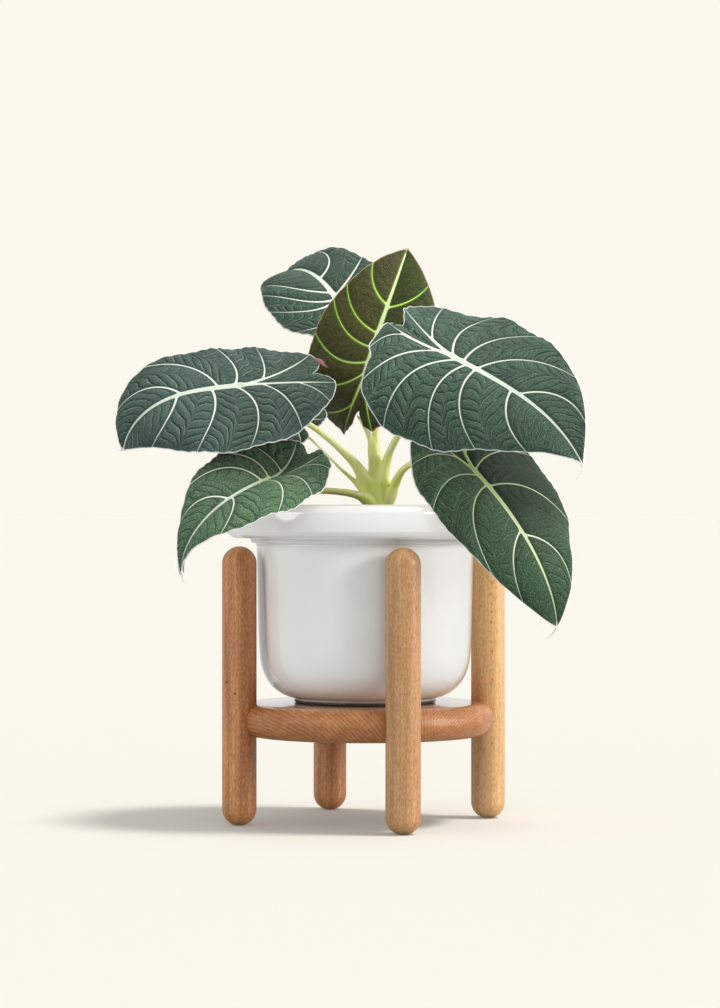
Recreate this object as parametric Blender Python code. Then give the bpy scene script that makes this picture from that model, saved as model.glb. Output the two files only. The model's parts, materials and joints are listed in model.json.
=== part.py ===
"""Potted black velvet alocasia in a white glazed pot on a four-legged round beech stand.

Run with: blender --background --python part.py
Lengths are written in millimetres and angles in degrees; MM turns a length into Blender's metres.
The stand's axis is the zero of X and Y while modelling, the floor is Z = 0 and the front looks to -Y.
"""
import math

import bmesh
import bpy
import numpy as np
from mathutils import Vector

MM = 0.001
GAP = 0.3                       # clearance kept between pieces that touch

# Where the stand's axis lies, so that the origin is under the middle of the whole plant
STAND_X = 13.5
STAND_Y = 0.0

# Stand
LEG_RADIUS = 12.5
LEG_HEIGHT = 202.0
LEG_CIRCLE = 95.0               # the legs' axes lie on a circle of this radius
LEG_ANGLES = {"leg_front": 16.3, "leg_right": 106.3, "leg_back": 196.3, "leg_left": 286.3}
FOOT_FLAT = 3.0                 # radius of the flat spot under each rounded foot
SHELF_RADIUS = 94.0
SHELF_TOP = 87.5
SHELF_THICK = 24.0

# Pot
POT_BASE = SHELF_TOP + GAP
POT_HEIGHT = 144.5
WALL = 5.0
RIM_Z = POT_BASE + POT_HEIGHT
BODY_RADIUS = 79.5
LIP_RADIUS = 101.8
LIP_INNER = 86.0
LIP_HEIGHT = 24.5
FOOT_RADIUS = 52.0
POT_SIDES = 44

# Soil and the crown that stands in it
SOIL_TOP = RIM_Z - 15.0
SOIL_RINGS = 4
SOIL_SIDES = 24
LUMP = 1.6                      # height of the lumps in the soil's surface
CROWN_X = 8.0
CROWN_Y = -2.0
CROWN_RADIUS = 10.0
CROWN_DEPTH = 20.0              # how far the crown reaches down into its hole in the soil

# Blades
BLADE_THICK = 0.8
PILLOW = 0.9                    # how far the blade swells between two lateral veins
MIDRIB = 1.6                    # ribs stand out of the lower face by these heights
SIDE_RIB = 0.7
FAN = 50.0                      # a lateral vein leaves this much wider than it ends, near the tip
BOW = 0.55                      # reach of its bend, as a share of its length
MIDRIB_HALF = 1.7               # half the midrib's width near the stalk
EDGE_CALM = 8.0                 # corners fade out this many degrees before the tip and the notch
FOLD_HOLLOW = 5.0               # behind the junction the fold is a hollow, rounded this much
SUB_ROWS = (0.0, 0.18, 0.5, 0.82)
COLUMNS = (0.0, 0.06, 0.22, 0.42, 0.62, 0.82, 1.0)

# The lobes' outline behind the junction: share of the lobe length, share of the half width
LOBE_SHAPE = ((-0.30, 0.965), (-0.64, 0.82), (-0.90, 0.57), (-1.00, 0.33), (-0.93, 0.13))

# Each leaf: where the stalk meets the blade, which way the midrib leaves it (heading turns from +X
# to +Y), and how the flat blade is bent. Pairs are (left, right) as seen looking to the tip, or
# (at once, towards the tip) for droop and sweep. A vein is (start along the midrib, end angle about
# the junction, 0 at the tip and 180 at the notch); those that start at 0 spring from the junction.
# A corner is (side, angle about the junction, its spread there, how far it juts out of the edge).
LEAVES = {
    "leaf_left": dict(
        at=(-89, -46, 318), heading=196, pitch=-8, roll=33, length=107, lobe=64, notch=53,
        half_width=(61, 45), taper=1.0, fullness=3.1, droop=(-26, 110), lobe_lift=-3,
        sweep=(-6, 25), twist=6, fold=(8, 5), fold_change=(6, 1), curl=(-48, 3), wave=1.2,
        veins=(((0.45, 16), (0.21, 45), (0.04, 82), (0, 117), (0, 143), (0, 160)),
               ((0.42, 14), (0.16, 33), (0.04, 81), (0, 119), (0, 159))),
        corners=((1, 20, 9, 1.2), (0, 168, 3, -1.5))),
    "leaf_low_left": dict(
        at=(-68, -71, 250), heading=222, pitch=-17, roll=14, length=108, lobe=46, notch=47,
        half_width=(44, 39), taper=1.5, fullness=2.3, droop=(6, 88), lobe_lift=-23,
        sweep=(-1, -25), twist=-3, fold=(30, 39), fold_change=(23, 25), curl=(-74, -14), wave=1.4,
        veins=(((0.34, 20), (0.06, 56), (0, 93), (0, 128), (0, 155)),
               ((0.36, 12), (0.06, 31), (0, 66), (0, 100), (0, 158))),
        corners=((0, 154, 9, -2.0), (0, 132, 3, 1.2), (1, 150, 20, -5.0))),
    "leaf_back": dict(
        at=(-22, 94, 389), heading=136, pitch=49, roll=16, length=106, lobe=50, notch=44,
        half_width=(57, 49), taper=1.15, fullness=1.8, droop=(57, 70), lobe_lift=-6,
        sweep=(8, -1), twist=6, fold=(6, 24), fold_change=(8, 1), curl=(-29, -24), wave=1.2,
        veins=(((0.32, 13), (0.07, 31), (0, 56), (0, 84), (0, 118), (0, 157)),
               ((0.24, 25), (0.03, 57), (0, 98), (0, 157))),
        corners=()),
    "leaf_young": dict(
        at=(1, 8, 330), heading=36, pitch=72, roll=-26, length=106, lobe=44, notch=30,
        half_width=(51, 52), taper=0.9, fullness=1.9, droop=(10, 16), lobe_lift=9,
        sweep=(-12, 25), twist=-31, fold=(5, -3), fold_change=(-6, -8), curl=(-9, -22), wave=0.8,
        veins=(((0.51, 14), (0.29, 29), (0.18, 40), (0.07, 66), (0, 98), (0, 126), (0, 158)),
               ((0.49, 17), (0.28, 33), (0.12, 55), (0.03, 85), (0, 115), (0, 158))),
        corners=((0, 156, 3, 3.0), (1, 158, 3, 2.0))),
    "leaf_right": dict(
        at=(62, -80, 337), heading=-33, pitch=-26, roll=-35, length=146, lobe=54, notch=45,
        half_width=(62, 76), taper=1.15, fullness=1.8, droop=(-24, 38), lobe_lift=-30,
        sweep=(-15, -14), twist=-15, fold=(-1, 10), fold_change=(-5, 11), curl=(-7, -65), wave=1.6,
        veins=(((0.44, 8), (0.15, 26), (0.06, 64), (0, 98), (0, 128), (0, 162)),
               ((0.39, 14), (0.15, 36), (0.09, 63), (0.03, 95), (0, 118), (0, 137), (0, 162))),
        corners=((1, 114, 7, 3.8), (1, 131, 4, -2.5), (1, 139, 4, 1.8), (0, 158, 3, -2.2))),
    "leaf_low_right": dict(
        at=(78, -67, 256), heading=-39, pitch=-41, roll=-35, length=137, lobe=51, notch=44,
        half_width=(54, 52), taper=1.0, fullness=2.1, droop=(12, 70), lobe_lift=0,
        sweep=(-8, 6), twist=-8, fold=(-5, 28), fold_change=(13, 22), curl=(-24, -34), wave=1.2,
        veins=(((0.45, 10), (0.12, 34), (0, 87), (0, 120), (0, 157)),
               ((0.42, 12), (0.11, 25), (0.03, 72), (0, 112), (0, 160))),
        corners=((0, 35, 5, 2.2), (0, 22, 6, -2.2))),
    "leaf_small": dict(
        at=(-59, 3, 299), heading=164, pitch=33, roll=56, length=65, lobe=28, notch=15,
        half_width=(30, 31), taper=1.1, fullness=2.3, droop=(30, 28), lobe_lift=-18,
        sweep=(6, -7), twist=-9, fold=(15, 5), fold_change=(0, 1), curl=(16, -64), wave=0.6,
        veins=(((0.45, 14), (0.17, 34), (0.04, 72), (0, 115), (0, 152)),
               ((0.45, 14), (0.17, 34), (0.04, 72), (0, 115), (0, 152))),
        corners=((0, 120, 9, 1.0),)),
}

# Each leaf stalk: points of its route from inside the crown, each with the stalk's radius there.
# It goes on from the last one to the underside of its blade.
STALKS = {
    "leaf_left": ((8, -3, 226, 7), (3, -4, 243, 6.5), (-2, -5, 254, 5), (-11, -7, 266, 3.2),
                  (-34, -14, 286, 2.3), (-64, -25, 304, 2.2)),
    "leaf_low_left": ((9, -5, 228, 5.5), (3, -9, 234, 5), (-5, -13, 239, 3.2), (-18, -24, 241.5, 2.6),
                      (-36, -41, 242.5, 2.4), (-56, -58, 243, 2.3)),
    "leaf_small": ((7, -4, 226, 5), (1, -5, 239, 3.5), (-8, -4, 249.5, 1.9), (-18, -2, 258.5, 1.3),
                   (-32, 3, 273, 1.2), (-52, 9, 291, 1.2)),
    "leaf_back": ((9, 2, 228, 6), (6, 4, 250, 3.8), (4.5, 8, 266, 2.2), (4, 16, 284, 2.0),
                  (3, 36, 312, 2.0), (-6, 74, 345, 2.0), (-20, 99, 369, 2.0)),
    "leaf_young": ((8, -1, 226, 8), (8, -1, 248, 6.5), (8, 0, 264, 4.6), (7.5, 1, 281, 3.4),
                   (9, 5, 292, 2.4), (9, 12, 308, 2.1)),
    "leaf_right": ((10, -4, 226, 7), (13, -4, 252, 5), (16, -6, 265, 3.4), (20, -13, 275, 2.8),
                   (28, -28, 289, 2.5), (45, -55, 312, 2.3)),
    "leaf_low_right": ((11, -4, 228, 6), (18, -6, 238, 5), (22, -9, 248, 3.6), (28, -19, 258, 2.6),
                       (38, -32, 263, 2.3), (58, -50, 263, 2.2)),
}
# The open sheath that the youngest leaf came out of: its pointed hood and its thin loose edge
SHEATH = {
    "hood": ((8, -2, 258, 4.2), (6.5, -1, 274, 3.6), (3, 1.5, 284, 2.8), (-1, 4, 291, 1.8),
             (-6, 6, 298, 0.5)),
    "edge": ((6, -4, 256, 2.5), (3.6, -4.5, 266, 1.5), (3.2, -3, 277, 1.4), (3.6, 0, 286, 1.4)),
}
STALK_SIDES = 8
STALK_STEP = 9.0                # distance between two rings of a stalk
SEAT_LENGTH = 7.0               # the stalk's last stretch, where it turns up to the blade

COLORS = {
    "beech": ((0.40, 0.21, 0.095, 1.0), 0.55),
    "glaze": ((0.72, 0.71, 0.67, 1.0), 0.18),
    "soil": ((0.035, 0.022, 0.015, 1.0), 0.95),
    "stalk": ((0.36, 0.42, 0.13, 1.0), 0.45),
    "velvet": ((0.045, 0.085, 0.06, 1.0), 0.6),
    "young": ((0.05, 0.065, 0.012, 1.0), 0.45),
}


def clear_scene():
    for thing in list(bpy.data.objects):
        bpy.data.objects.remove(thing, do_unlink=True)


def material(name):
    found = bpy.data.materials.get(name)
    if found:
        return found
    color, roughness = COLORS[name]
    made = bpy.data.materials.new(name)
    made.use_nodes = True
    shader = made.node_tree.nodes["Principled BSDF"]
    shader.inputs["Base Color"].default_value = color
    shader.inputs["Roughness"].default_value = roughness
    shader.inputs["Metallic"].default_value = 0.0
    made.diffuse_color = color
    return made


def add_object(name, points, faces, finish, sharp_angle=40.0):
    """Makes an object of points in millimetres, shaded smooth but for its sharp edges."""
    mesh = bpy.data.meshes.new(name)
    mesh.from_pydata([tuple(float(c) * MM for c in p) for p in points], [], faces)
    mesh.shade_smooth()
    mesh.set_sharp_from_angle(angle=math.radians(sharp_angle))
    made = bpy.data.objects.new(name, mesh)
    made.data.materials.append(material(finish))
    bpy.context.scene.collection.objects.link(made)
    return made


def arc(center, radius, start, end, steps):
    """Points of a profile's round stretch, angles turning from +r to +z."""
    angles = np.radians(np.linspace(start, end, steps))
    return [(center[0] + radius * math.cos(a), center[1] + radius * math.sin(a)) for a in angles]


def turned(name, profile, sides, finish, sharp_angle=40.0):
    """Spins a profile of (radius, height) points, from the axis below to the axis above."""
    bm = bmesh.new()
    verts = [bm.verts.new((r * MM, 0.0, z * MM)) for r, z in profile]
    edges = [bm.edges.new(pair) for pair in zip(verts[:-1], verts[1:])]
    bmesh.ops.spin(bm, geom=verts + edges, cent=(0, 0, 0), axis=(0, 0, 1), angle=math.tau,
                   steps=sides, use_merge=True)
    bmesh.ops.remove_doubles(bm, verts=bm.verts, dist=0.00001)
    bmesh.ops.recalc_face_normals(bm, faces=bm.faces)
    mesh = bpy.data.meshes.new(name)
    bm.to_mesh(mesh)
    bm.free()
    mesh.shade_smooth()
    mesh.set_sharp_from_angle(angle=math.radians(sharp_angle))
    made = bpy.data.objects.new(name, mesh)
    made.data.materials.append(material(finish))
    bpy.context.scene.collection.objects.link(made)
    return made


def keep_result(thing, modifier):
    """Applies a modifier by keeping the mesh that it gives."""
    graph = bpy.context.evaluated_depsgraph_get()
    result = bpy.data.meshes.new_from_object(thing.evaluated_get(graph))
    thing.modifiers.remove(modifier)
    thing.data = result
    result.name = thing.name


def leg_place(name):
    angle = math.radians(LEG_ANGLES[name])
    return Vector((LEG_CIRCLE * math.sin(angle), -LEG_CIRCLE * math.cos(angle), 0.0)) * MM


def leg(name):
    """A dowel with both ends rounded, and a small flat where it stands."""
    flat = math.degrees(math.acos(FOOT_FLAT / LEG_RADIUS))
    sink = LEG_RADIUS * math.sin(math.radians(flat))
    foot = arc((0.0, sink), LEG_RADIUS, -flat, 0.0, 5)
    head = arc((0.0, LEG_HEIGHT - LEG_RADIUS), LEG_RADIUS, 0.0, 90.0, 6)
    made = turned(name, [(0.0, 0.0)] + foot + head[:-1] + [(0.0, LEG_HEIGHT)], 20, "beech")
    made.location = leg_place(name)
    return made


def shelf():
    """A thick disc with a round edge, notched where the four legs stand."""
    half = SHELF_THICK / 2
    edge = arc((SHELF_RADIUS - half, SHELF_TOP - half), half, -90.0, 90.0, 7)
    made = turned("shelf", [(0.0, SHELF_TOP - SHELF_THICK)] + edge + [(0.0, SHELF_TOP)], 64, "beech")
    for name in LEG_ANGLES:
        bpy.ops.mesh.primitive_cylinder_add(vertices=40, radius=(LEG_RADIUS + GAP) * MM,
                                            depth=SHELF_THICK * 2 * MM)
        cutter = bpy.context.object
        cutter.name = "notch_" + name
        cutter.location = leg_place(name) + Vector((0.0, 0.0, (SHELF_TOP - half) * MM))
        cutter.hide_render = True
        cutter.display_type = "WIRE"
        cut = made.modifiers.new(cutter.name, "BOOLEAN")
        cut.operation = "DIFFERENCE"
        cut.object = cutter
    return made


def pot():
    """The glazed pot: foot ring, round-bottomed body, step under the lip and fat rolled lip."""
    lip_low = RIM_Z - LIP_HEIGHT
    belly = POT_BASE + 52.0
    outer = [(0.0, POT_BASE + 2.0), (FOOT_RADIUS - 7.0, POT_BASE + 2.0), (FOOT_RADIUS - 6.0, POT_BASE),
             (FOOT_RADIUS - 0.5, POT_BASE), (FOOT_RADIUS, POT_BASE + 3.0)]
    outer += [(FOOT_RADIUS + 8.0, POT_BASE + 5.5), (FOOT_RADIUS + 17.0, POT_BASE + 12.5),
              (75.2, POT_BASE + 24.0), (77.6, POT_BASE + 40.0), (78.6, belly + 20.0)]
    step = [(BODY_RADIUS, lip_low - 8.0), (BODY_RADIUS + 1.2, lip_low - 4.2),
            (BODY_RADIUS + 5.0, lip_low - 2.6), (BODY_RADIUS + 6.5, lip_low - 0.8)]
    lip = arc((LIP_RADIUS - 8.0, lip_low + 8.0), 8.0, -90.0, -15.0, 4)
    lip += arc((LIP_RADIUS - 7.5, RIM_Z - 7.5), 7.5, 10.0, 90.0, 4)
    lip += arc((LIP_INNER + 4.0, RIM_Z - 4.0), 4.0, 90.0, 180.0, 3)
    inner = [(LIP_INNER, lip_low + 6.0), (BODY_RADIUS - WALL, lip_low - 6.0),
             (77.6 - WALL, POT_BASE + 42.0), (69.0 - WALL, POT_BASE + 18.0), (48.0, POT_BASE + 9.0),
             (0.0, POT_BASE + 8.0)]
    return turned("pot", outer + step + lip + inner, POT_SIDES, "glaze")


def soil_height(x, y):
    """Lumps of the soil's surface, higher round the crown."""
    lumps = math.sin(0.21 * x + 1.3) * math.cos(0.17 * y - 0.6) + 0.6 * math.sin(0.33 * y + 0.12 * x)
    mound = 3.0 * math.exp(-((x - CROWN_X) ** 2 + (y - CROWN_Y) ** 2) / 700.0)
    return SOIL_TOP + LUMP * lumps + mound


def soil():
    """The soil fills the pot, and has a plain hole that the crown stands in."""
    fill = [(77.6 - WALL, POT_BASE + 42.0), (69.0 - WALL, POT_BASE + 18.0), (48.0, POT_BASE + 9.0)]
    rim = BODY_RADIUS - WALL - GAP
    hole = CROWN_RADIUS + GAP
    rings = [[(r - 1.0, z + 0.6)] * SOIL_SIDES for r, z in reversed(fill)]
    rings += [[(rim, RIM_Z - LIP_HEIGHT - 6.5)] * SOIL_SIDES]
    points, faces = [], []
    middle = Vector((CROWN_X, CROWN_Y))
    for ring in rings:
        for k, (r, z) in enumerate(ring):
            turn = math.tau * k / SOIL_SIDES
            points.append((r * math.cos(turn), r * math.sin(turn), z))
    for step in range(SOIL_RINGS + 1):
        share = step / SOIL_RINGS
        for k in range(SOIL_SIDES):
            turn = math.tau * k / SOIL_SIDES
            out = Vector((math.cos(turn), math.sin(turn)))
            x, y = (out * (rim - 0.2)).lerp(middle + out * hole, share)
            points.append((x, y, soil_height(x, y)))
    depth = SOIL_TOP - CROWN_DEPTH - GAP
    for k in range(SOIL_SIDES):
        turn = math.tau * k / SOIL_SIDES
        points.append((middle.x + hole * math.cos(turn), middle.y + hole * math.sin(turn), depth))
    for ring in range(len(points) // SOIL_SIDES - 1):
        for k in range(SOIL_SIDES):
            a = ring * SOIL_SIDES + k
            b = ring * SOIL_SIDES + (k + 1) % SOIL_SIDES
            faces.append((a, b, b + SOIL_SIDES))
            faces.append((a, b + SOIL_SIDES, a + SOIL_SIDES))
    floor = len(points)
    points.append((0.0, 0.0, POT_BASE + 9.6))
    points.append((middle.x, middle.y, depth))
    last = floor - SOIL_SIDES
    for k in range(SOIL_SIDES):
        faces.append(((k + 1) % SOIL_SIDES, k, floor))
        faces.append((last + k, last + (k + 1) % SOIL_SIDES, floor + 1))
    return add_object("soil", points, faces, "soil")


def smooth_route(knots, steps):
    """Points of a smooth curve through the knots (Catmull-Rom), steps to a span."""
    knots = np.asarray(knots, float)
    framed = np.vstack([2 * knots[0] - knots[1], knots, 2 * knots[-1] - knots[-2]])
    curve = []
    for i in range(len(knots) - 1):
        a, b, c, d = framed[i:i + 4]
        for t in np.arange(steps[i]) / steps[i]:
            curve.append(0.5 * (2 * b + (c - a) * t + (2 * a - 5 * b + 4 * c - d) * t ** 2
                                + (3 * b - a - 3 * c + d) * t ** 3))
    return np.array(curve + [knots[-1]])


def half_outline(leaf, side):
    """The flat blade's edge on one side, from tip to notch, as (forward, outward) points."""
    width = leaf["half_width"][side]
    u = 1.0 - np.linspace(0.0, 1.0, 40) ** 1.6
    front = np.stack([u * leaf["length"], width * (1.0 - u ** leaf["fullness"]) ** leaf["taper"]], -1)
    back = [front[-6], (0.0, width)] + [(a * leaf["lobe"], b * width) for a, b in LOBE_SHAPE]
    back = smooth_route(back + [(-leaf["notch"], 0.0)], [1] + [8] * (len(LOBE_SHAPE) + 1))
    return np.vstack([front, back[2:]])


def edge_point(leaf, side, end):
    """Where the blade's edge lies at the angle end about the junction, corners and dents included."""
    edge = half_outline(leaf, side)
    angles = np.maximum.accumulate(np.degrees(np.arctan2(edge[:, 1], edge[:, 0])))
    point = np.array([np.interp(end, angles, edge[:, 0]), np.interp(end, angles, edge[:, 1])])
    out = sum(size * math.exp(-((end - at) / spread) ** 2)
              for where, at, spread, size in leaf["corners"] if where == side)
    out *= min(1.0, end / EDGE_CALM, (180.0 - end) / EDGE_CALM)
    return point * (1.0 + out / np.linalg.norm(point))


def vein(leaf, side, start, end, shares):
    """Points of a vein in the flat blade: it leaves the midrib wide and bends towards the tip."""
    last = edge_point(leaf, side, end)
    beside = MIDRIB_HALF * min(1.0, 25.0 * start) * (1.0 - start)
    first = np.array([start * leaf["length"], beside])
    leave = math.radians(end + FAN * (1.0 - (end / 180.0) ** 2))
    reach = BOW * np.linalg.norm(last - first)
    bend = first + reach * np.array([math.cos(leave), math.sin(leave)])
    q = np.asarray(shares)[:, None]
    return (1 - q) ** 2 * first + 2 * q * (1 - q) * bend + q ** 2 * last


def vein_rows(leaf, side):
    """Rows of points over half a blade, along its veins and between them, from tip to notch."""
    mains = [(1.0, 0.0)] + list(leaf["veins"][side]) + [(0.0, 180.0)]
    rows = []
    for (start, end), (next_start, next_end) in zip(mains[:-1], mains[1:]):
        for share in SUB_ROWS:
            at = start + (next_start - start) * share
            to = end + (next_end - end) * share
            rows.append((vein(leaf, side, at, to, COLUMNS), share, to))
    rows.append((vein(leaf, side, 0.0, 180.0, COLUMNS), 0.0, 180.0))
    return rows


def midrib_line(leaf, s):
    """Place and directions (forward, left, up) of the bent midrib at distances s from the stalk."""
    length, lobe = leaf["length"], leaf["lobe"]
    table = np.linspace(-1.1 * lobe, 1.02 * length, 240)
    share = np.where(table > 0, table / length, table / lobe)
    droop, sweep = leaf["droop"], leaf["sweep"]
    down = np.where(share > 0, droop[0] * share + droop[1] * share ** 2,
                    -leaf["lobe_lift"] * np.abs(share) ** 1.3)
    side = np.where(share > 0, sweep[0] * share + sweep[1] * share ** 2, 0.5 * sweep[0] * share)
    down, side = np.radians(down), np.radians(side)
    forward = np.stack([np.cos(down) * np.cos(side), np.cos(down) * np.sin(side), -np.sin(down)], -1)
    step = table[1] - table[0]
    line = np.vstack([np.zeros(3), np.cumsum((forward[1:] + forward[:-1]) / 2 * step, 0)])
    line -= [np.interp(0.0, table, line[:, k]) for k in range(3)]
    place = np.stack([np.interp(s, table, line[:, k]) for k in range(3)], -1)
    down, side = np.interp(s, table, down), np.interp(s, table, side)
    forward = np.stack([np.cos(down) * np.cos(side), np.cos(down) * np.sin(side), -np.sin(down)], -1)
    left = np.stack([-np.sin(side), np.cos(side), 0 * side], -1)
    up = np.cross(forward, left)
    turn = np.radians(leaf["twist"] * np.where(s > 0, s / length, s / lobe))[:, None]
    return place, left * np.cos(turn) - up * np.sin(turn), up * np.cos(turn) + left * np.sin(turn)


def bent_blade(leaf, s, t, ripple):
    """Bends flat points (s forward, t to the left) into the leaf's place in space."""
    place, left, up = midrib_line(leaf, s)
    is_left = t >= 0
    pick = lambda name: np.where(is_left, leaf[name][0], leaf[name][1])
    share = np.where(s > 0, s / leaf["length"], s / leaf["lobe"])
    fold = np.radians(pick("fold") - pick("fold_change") * share)
    curl = np.radians(pick("curl"))
    width = pick("half_width")
    end = fold + curl * np.abs(t) / width
    out = (np.sin(end) - np.sin(fold)) * width / curl
    rise = (np.cos(fold) - np.cos(end)) * width / curl + ripple
    hollow = FOLD_HOLLOW * np.clip(-3.0 * s / leaf["lobe"], 0.0, 1.0)
    rise -= np.sin(fold) * (np.abs(t) + hollow - np.hypot(t, hollow))
    local = place + left * np.where(is_left, out, -out)[:, None] + up * rise[:, None]
    forward, side, above = blade_axes(leaf)
    return np.array(leaf["at"], float) + local @ np.array([forward, side, above])


def blade_axes(leaf):
    """The blade's forward, left and up directions where the stalk meets it."""
    heading, pitch, roll = (math.radians(leaf[k]) for k in ("heading", "pitch", "roll"))
    forward = np.array([math.cos(heading) * math.cos(pitch), math.sin(heading) * math.cos(pitch),
                        math.sin(pitch)])
    level = np.array([-math.sin(heading), math.cos(heading), 0.0])
    above = np.cross(forward, level)
    left = level * math.cos(roll) - above * math.sin(roll)
    up = above * math.cos(roll) + level * math.sin(roll)
    return forward, left, up


def zipped(left, right, forward):
    """Triangles of the strip between two rows of points, both ordered by how far forward they lie."""
    i, j, triangles = 0, 0, []
    while i < len(left) - 1 or j < len(right) - 1:
        ahead = j == len(right) - 1 or (i < len(left) - 1 and forward[left[i + 1]] < forward[right[j + 1]])
        triangles.append((left[i], right[j], left[i + 1] if ahead else right[j + 1]))
        i, j = (i + 1, j) if ahead else (i, j + 1)
    return triangles


def blade_sheet(leaf):
    """The blade's middle sheet: flat points, what each carries, and triangles facing up."""
    flat, swell, rib, ripple, triangles, banks = [], [], [], [], [], []
    for side in (0, 1):
        rows = vein_rows(leaf, side)
        base = len(flat)
        banks.append([base + i * len(COLUMNS) for i in range(len(rows))][::-1])
        for points, share, end in rows:
            for q, (s, t) in zip(COLUMNS, points):
                flat.append((s, t if side == 0 else -t))
                swell.append(PILLOW * math.sin(math.pi * share) * math.sin(math.pi * q) ** 0.5)
                on_vein = SIDE_RIB * (1.0 - 0.7 * q) if share == 0.0 and 0.0 < end < 180.0 else 0.0
                on_midrib = MIDRIB * (1.0 - 0.85 * max(s, 0.0) / leaf["length"]) if q == 0.0 else 0.0
                rib.append(max(on_vein, on_midrib))
                ripple.append(leaf["wave"] * q ** 3 * math.sin(math.radians(9.0 * end) + 2.0 * side))
        for i in range(len(rows) - 1):
            for j in range(len(COLUMNS) - 1):
                a = base + i * len(COLUMNS) + j
                b = a + len(COLUMNS)
                pair = [(a, a + 1, b + 1), (a, b + 1, b)]
                triangles += pair if side == 0 else [tri[::-1] for tri in pair]
    triangles += zipped(*banks, np.array(flat)[:, 0])
    flat = np.array(flat)
    key, first, same = np.unique(np.round(flat, 3) + 0.0, axis=0, return_index=True, return_inverse=True)
    same = same.reshape(-1)
    triangles = [tuple(int(same[k]) for k in tri) for tri in triangles]
    triangles = [tri for tri in triangles if len(set(tri)) == 3]
    extra = np.array([swell, rib, ripple])
    merged = np.zeros((3, len(first)))
    for row in range(3):
        np.maximum.at(merged[row], same, extra[row]) if row < 2 else np.put(merged[row], same, extra[row])
    return flat[first], merged, triangles


def blade(name, leaf):
    """A closed solid: upper face swollen between the veins, ribs on the lower face."""
    flat, (swell, rib, ripple), triangles = blade_sheet(leaf)
    sheet = bent_blade(leaf, flat[:, 0], flat[:, 1], ripple)
    tri = np.array(triangles)
    across = np.cross(sheet[tri[:, 1]] - sheet[tri[:, 0]], sheet[tri[:, 2]] - sheet[tri[:, 0]])
    normal = np.zeros_like(sheet)
    for corner in range(3):
        np.add.at(normal, tri[:, corner], across)
    normal /= np.linalg.norm(normal, axis=1, keepdims=True)
    count = len(sheet)
    upper = sheet + normal * swell[:, None]
    lower = sheet - normal * (BLADE_THICK + rib)[:, None]
    faces = [tuple(t) for t in triangles] + [(c + count, b + count, a + count) for a, b, c in triangles]
    edges = {(a, b) for t in triangles for a, b in zip(t, t[1:] + t[:1])}
    for a, b in edges:
        if (b, a) not in edges:
            faces += [(b, a, a + count), (b, a + count, b + count)]
    finish = "young" if name == "leaf_young" else "velvet"
    return add_object(name, np.vstack([upper, lower]), sorted(faces), finish, 60.0)


def stalk_seat(leaf):
    """The end of the stalk under the blade, and the direction in which it meets it."""
    up = blade_axes(leaf)[2]
    return np.array(leaf["at"], float) - up * (BLADE_THICK + MIDRIB + GAP), up


def tube(name, knots, radii, sides, end=None):
    """A closed tube along a smooth route, with its last ring square to the direction end."""
    lengths = np.linalg.norm(np.diff(knots, axis=0), axis=1)
    steps = [max(1, round(d / STALK_STEP)) for d in lengths]
    route = smooth_route(np.column_stack([knots, radii]), steps)
    path, radii = route[:, :3], route[:, 3]
    tangents = np.gradient(path, axis=0)
    tangents[-1] = path[-1] - path[-2] if end is None else end
    tangents /= np.linalg.norm(tangents, axis=1, keepdims=True)
    side = np.cross(tangents[0], (0.0, 1.0, 0.0))
    points, faces = [], []
    for place, along, radius in zip(path, tangents, radii):
        side = side - along * side.dot(along)
        side /= np.linalg.norm(side)
        other = np.cross(along, side)
        for k in range(sides):
            turn = math.tau * k / sides
            points.append(place + radius * (side * math.cos(turn) + other * math.sin(turn)))
    for ring in range(len(path) - 1):
        for k in range(sides):
            a = ring * sides + k
            b = ring * sides + (k + 1) % sides
            faces.append((a, b, b + sides, a + sides))
    faces.append(tuple(range(sides))[::-1])
    faces.append(tuple(range(len(points) - sides, len(points))))
    return add_object(name, points, faces, "stalk")


def stalk(name):
    """A leaf stalk from the crown to its seat under the blade."""
    knots = [p[:3] for p in STALKS[name]]
    radii = [p[3] for p in STALKS[name]]
    seat, up = stalk_seat(LEAVES[name])
    toward = seat - np.array(knots[-1])
    bend = up + toward / np.linalg.norm(toward)
    knots += [seat - bend / np.linalg.norm(bend) * SEAT_LENGTH, seat]
    radii += [radii[-1], radii[-1]]
    return tube("stalk_" + name, np.array(knots, float), radii, STALK_SIDES, up)


def crown():
    """The short stem in the soil with all leaf stalks and the open sheath, grown as one piece."""
    low = SOIL_TOP - CROWN_DEPTH
    heart = [(0.0, low), (CROWN_RADIUS - 2.0, low), (CROWN_RADIUS, low + 2.0), (CROWN_RADIUS, SOIL_TOP + 3.0),
             (CROWN_RADIUS + 0.5, RIM_Z - 2.0), (8.5, RIM_Z + 14.0), (0.0, RIM_Z + 24.0)]
    made = turned("crown", heart, 16, "stalk", 60.0)
    made.location = Vector((CROWN_X, CROWN_Y, 0.0)) * MM
    shoots = bpy.data.collections.new("shoots")
    grown = [stalk(name) for name in STALKS]
    for name, knots in SHEATH.items():
        grown.append(tube(name, np.array([p[:3] for p in knots], float), [p[3] for p in knots], 6))
    for shoot in grown:
        bpy.context.scene.collection.objects.unlink(shoot)
        shoots.objects.link(shoot)
    join = made.modifiers.new("grown together", "BOOLEAN")
    join.operation = "UNION"
    join.operand_type = "COLLECTION"
    join.collection = shoots
    keep_result(made, join)
    for shoot in grown:
        bpy.data.objects.remove(shoot, do_unlink=True)
    bpy.data.collections.remove(shoots)
    return made


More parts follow.
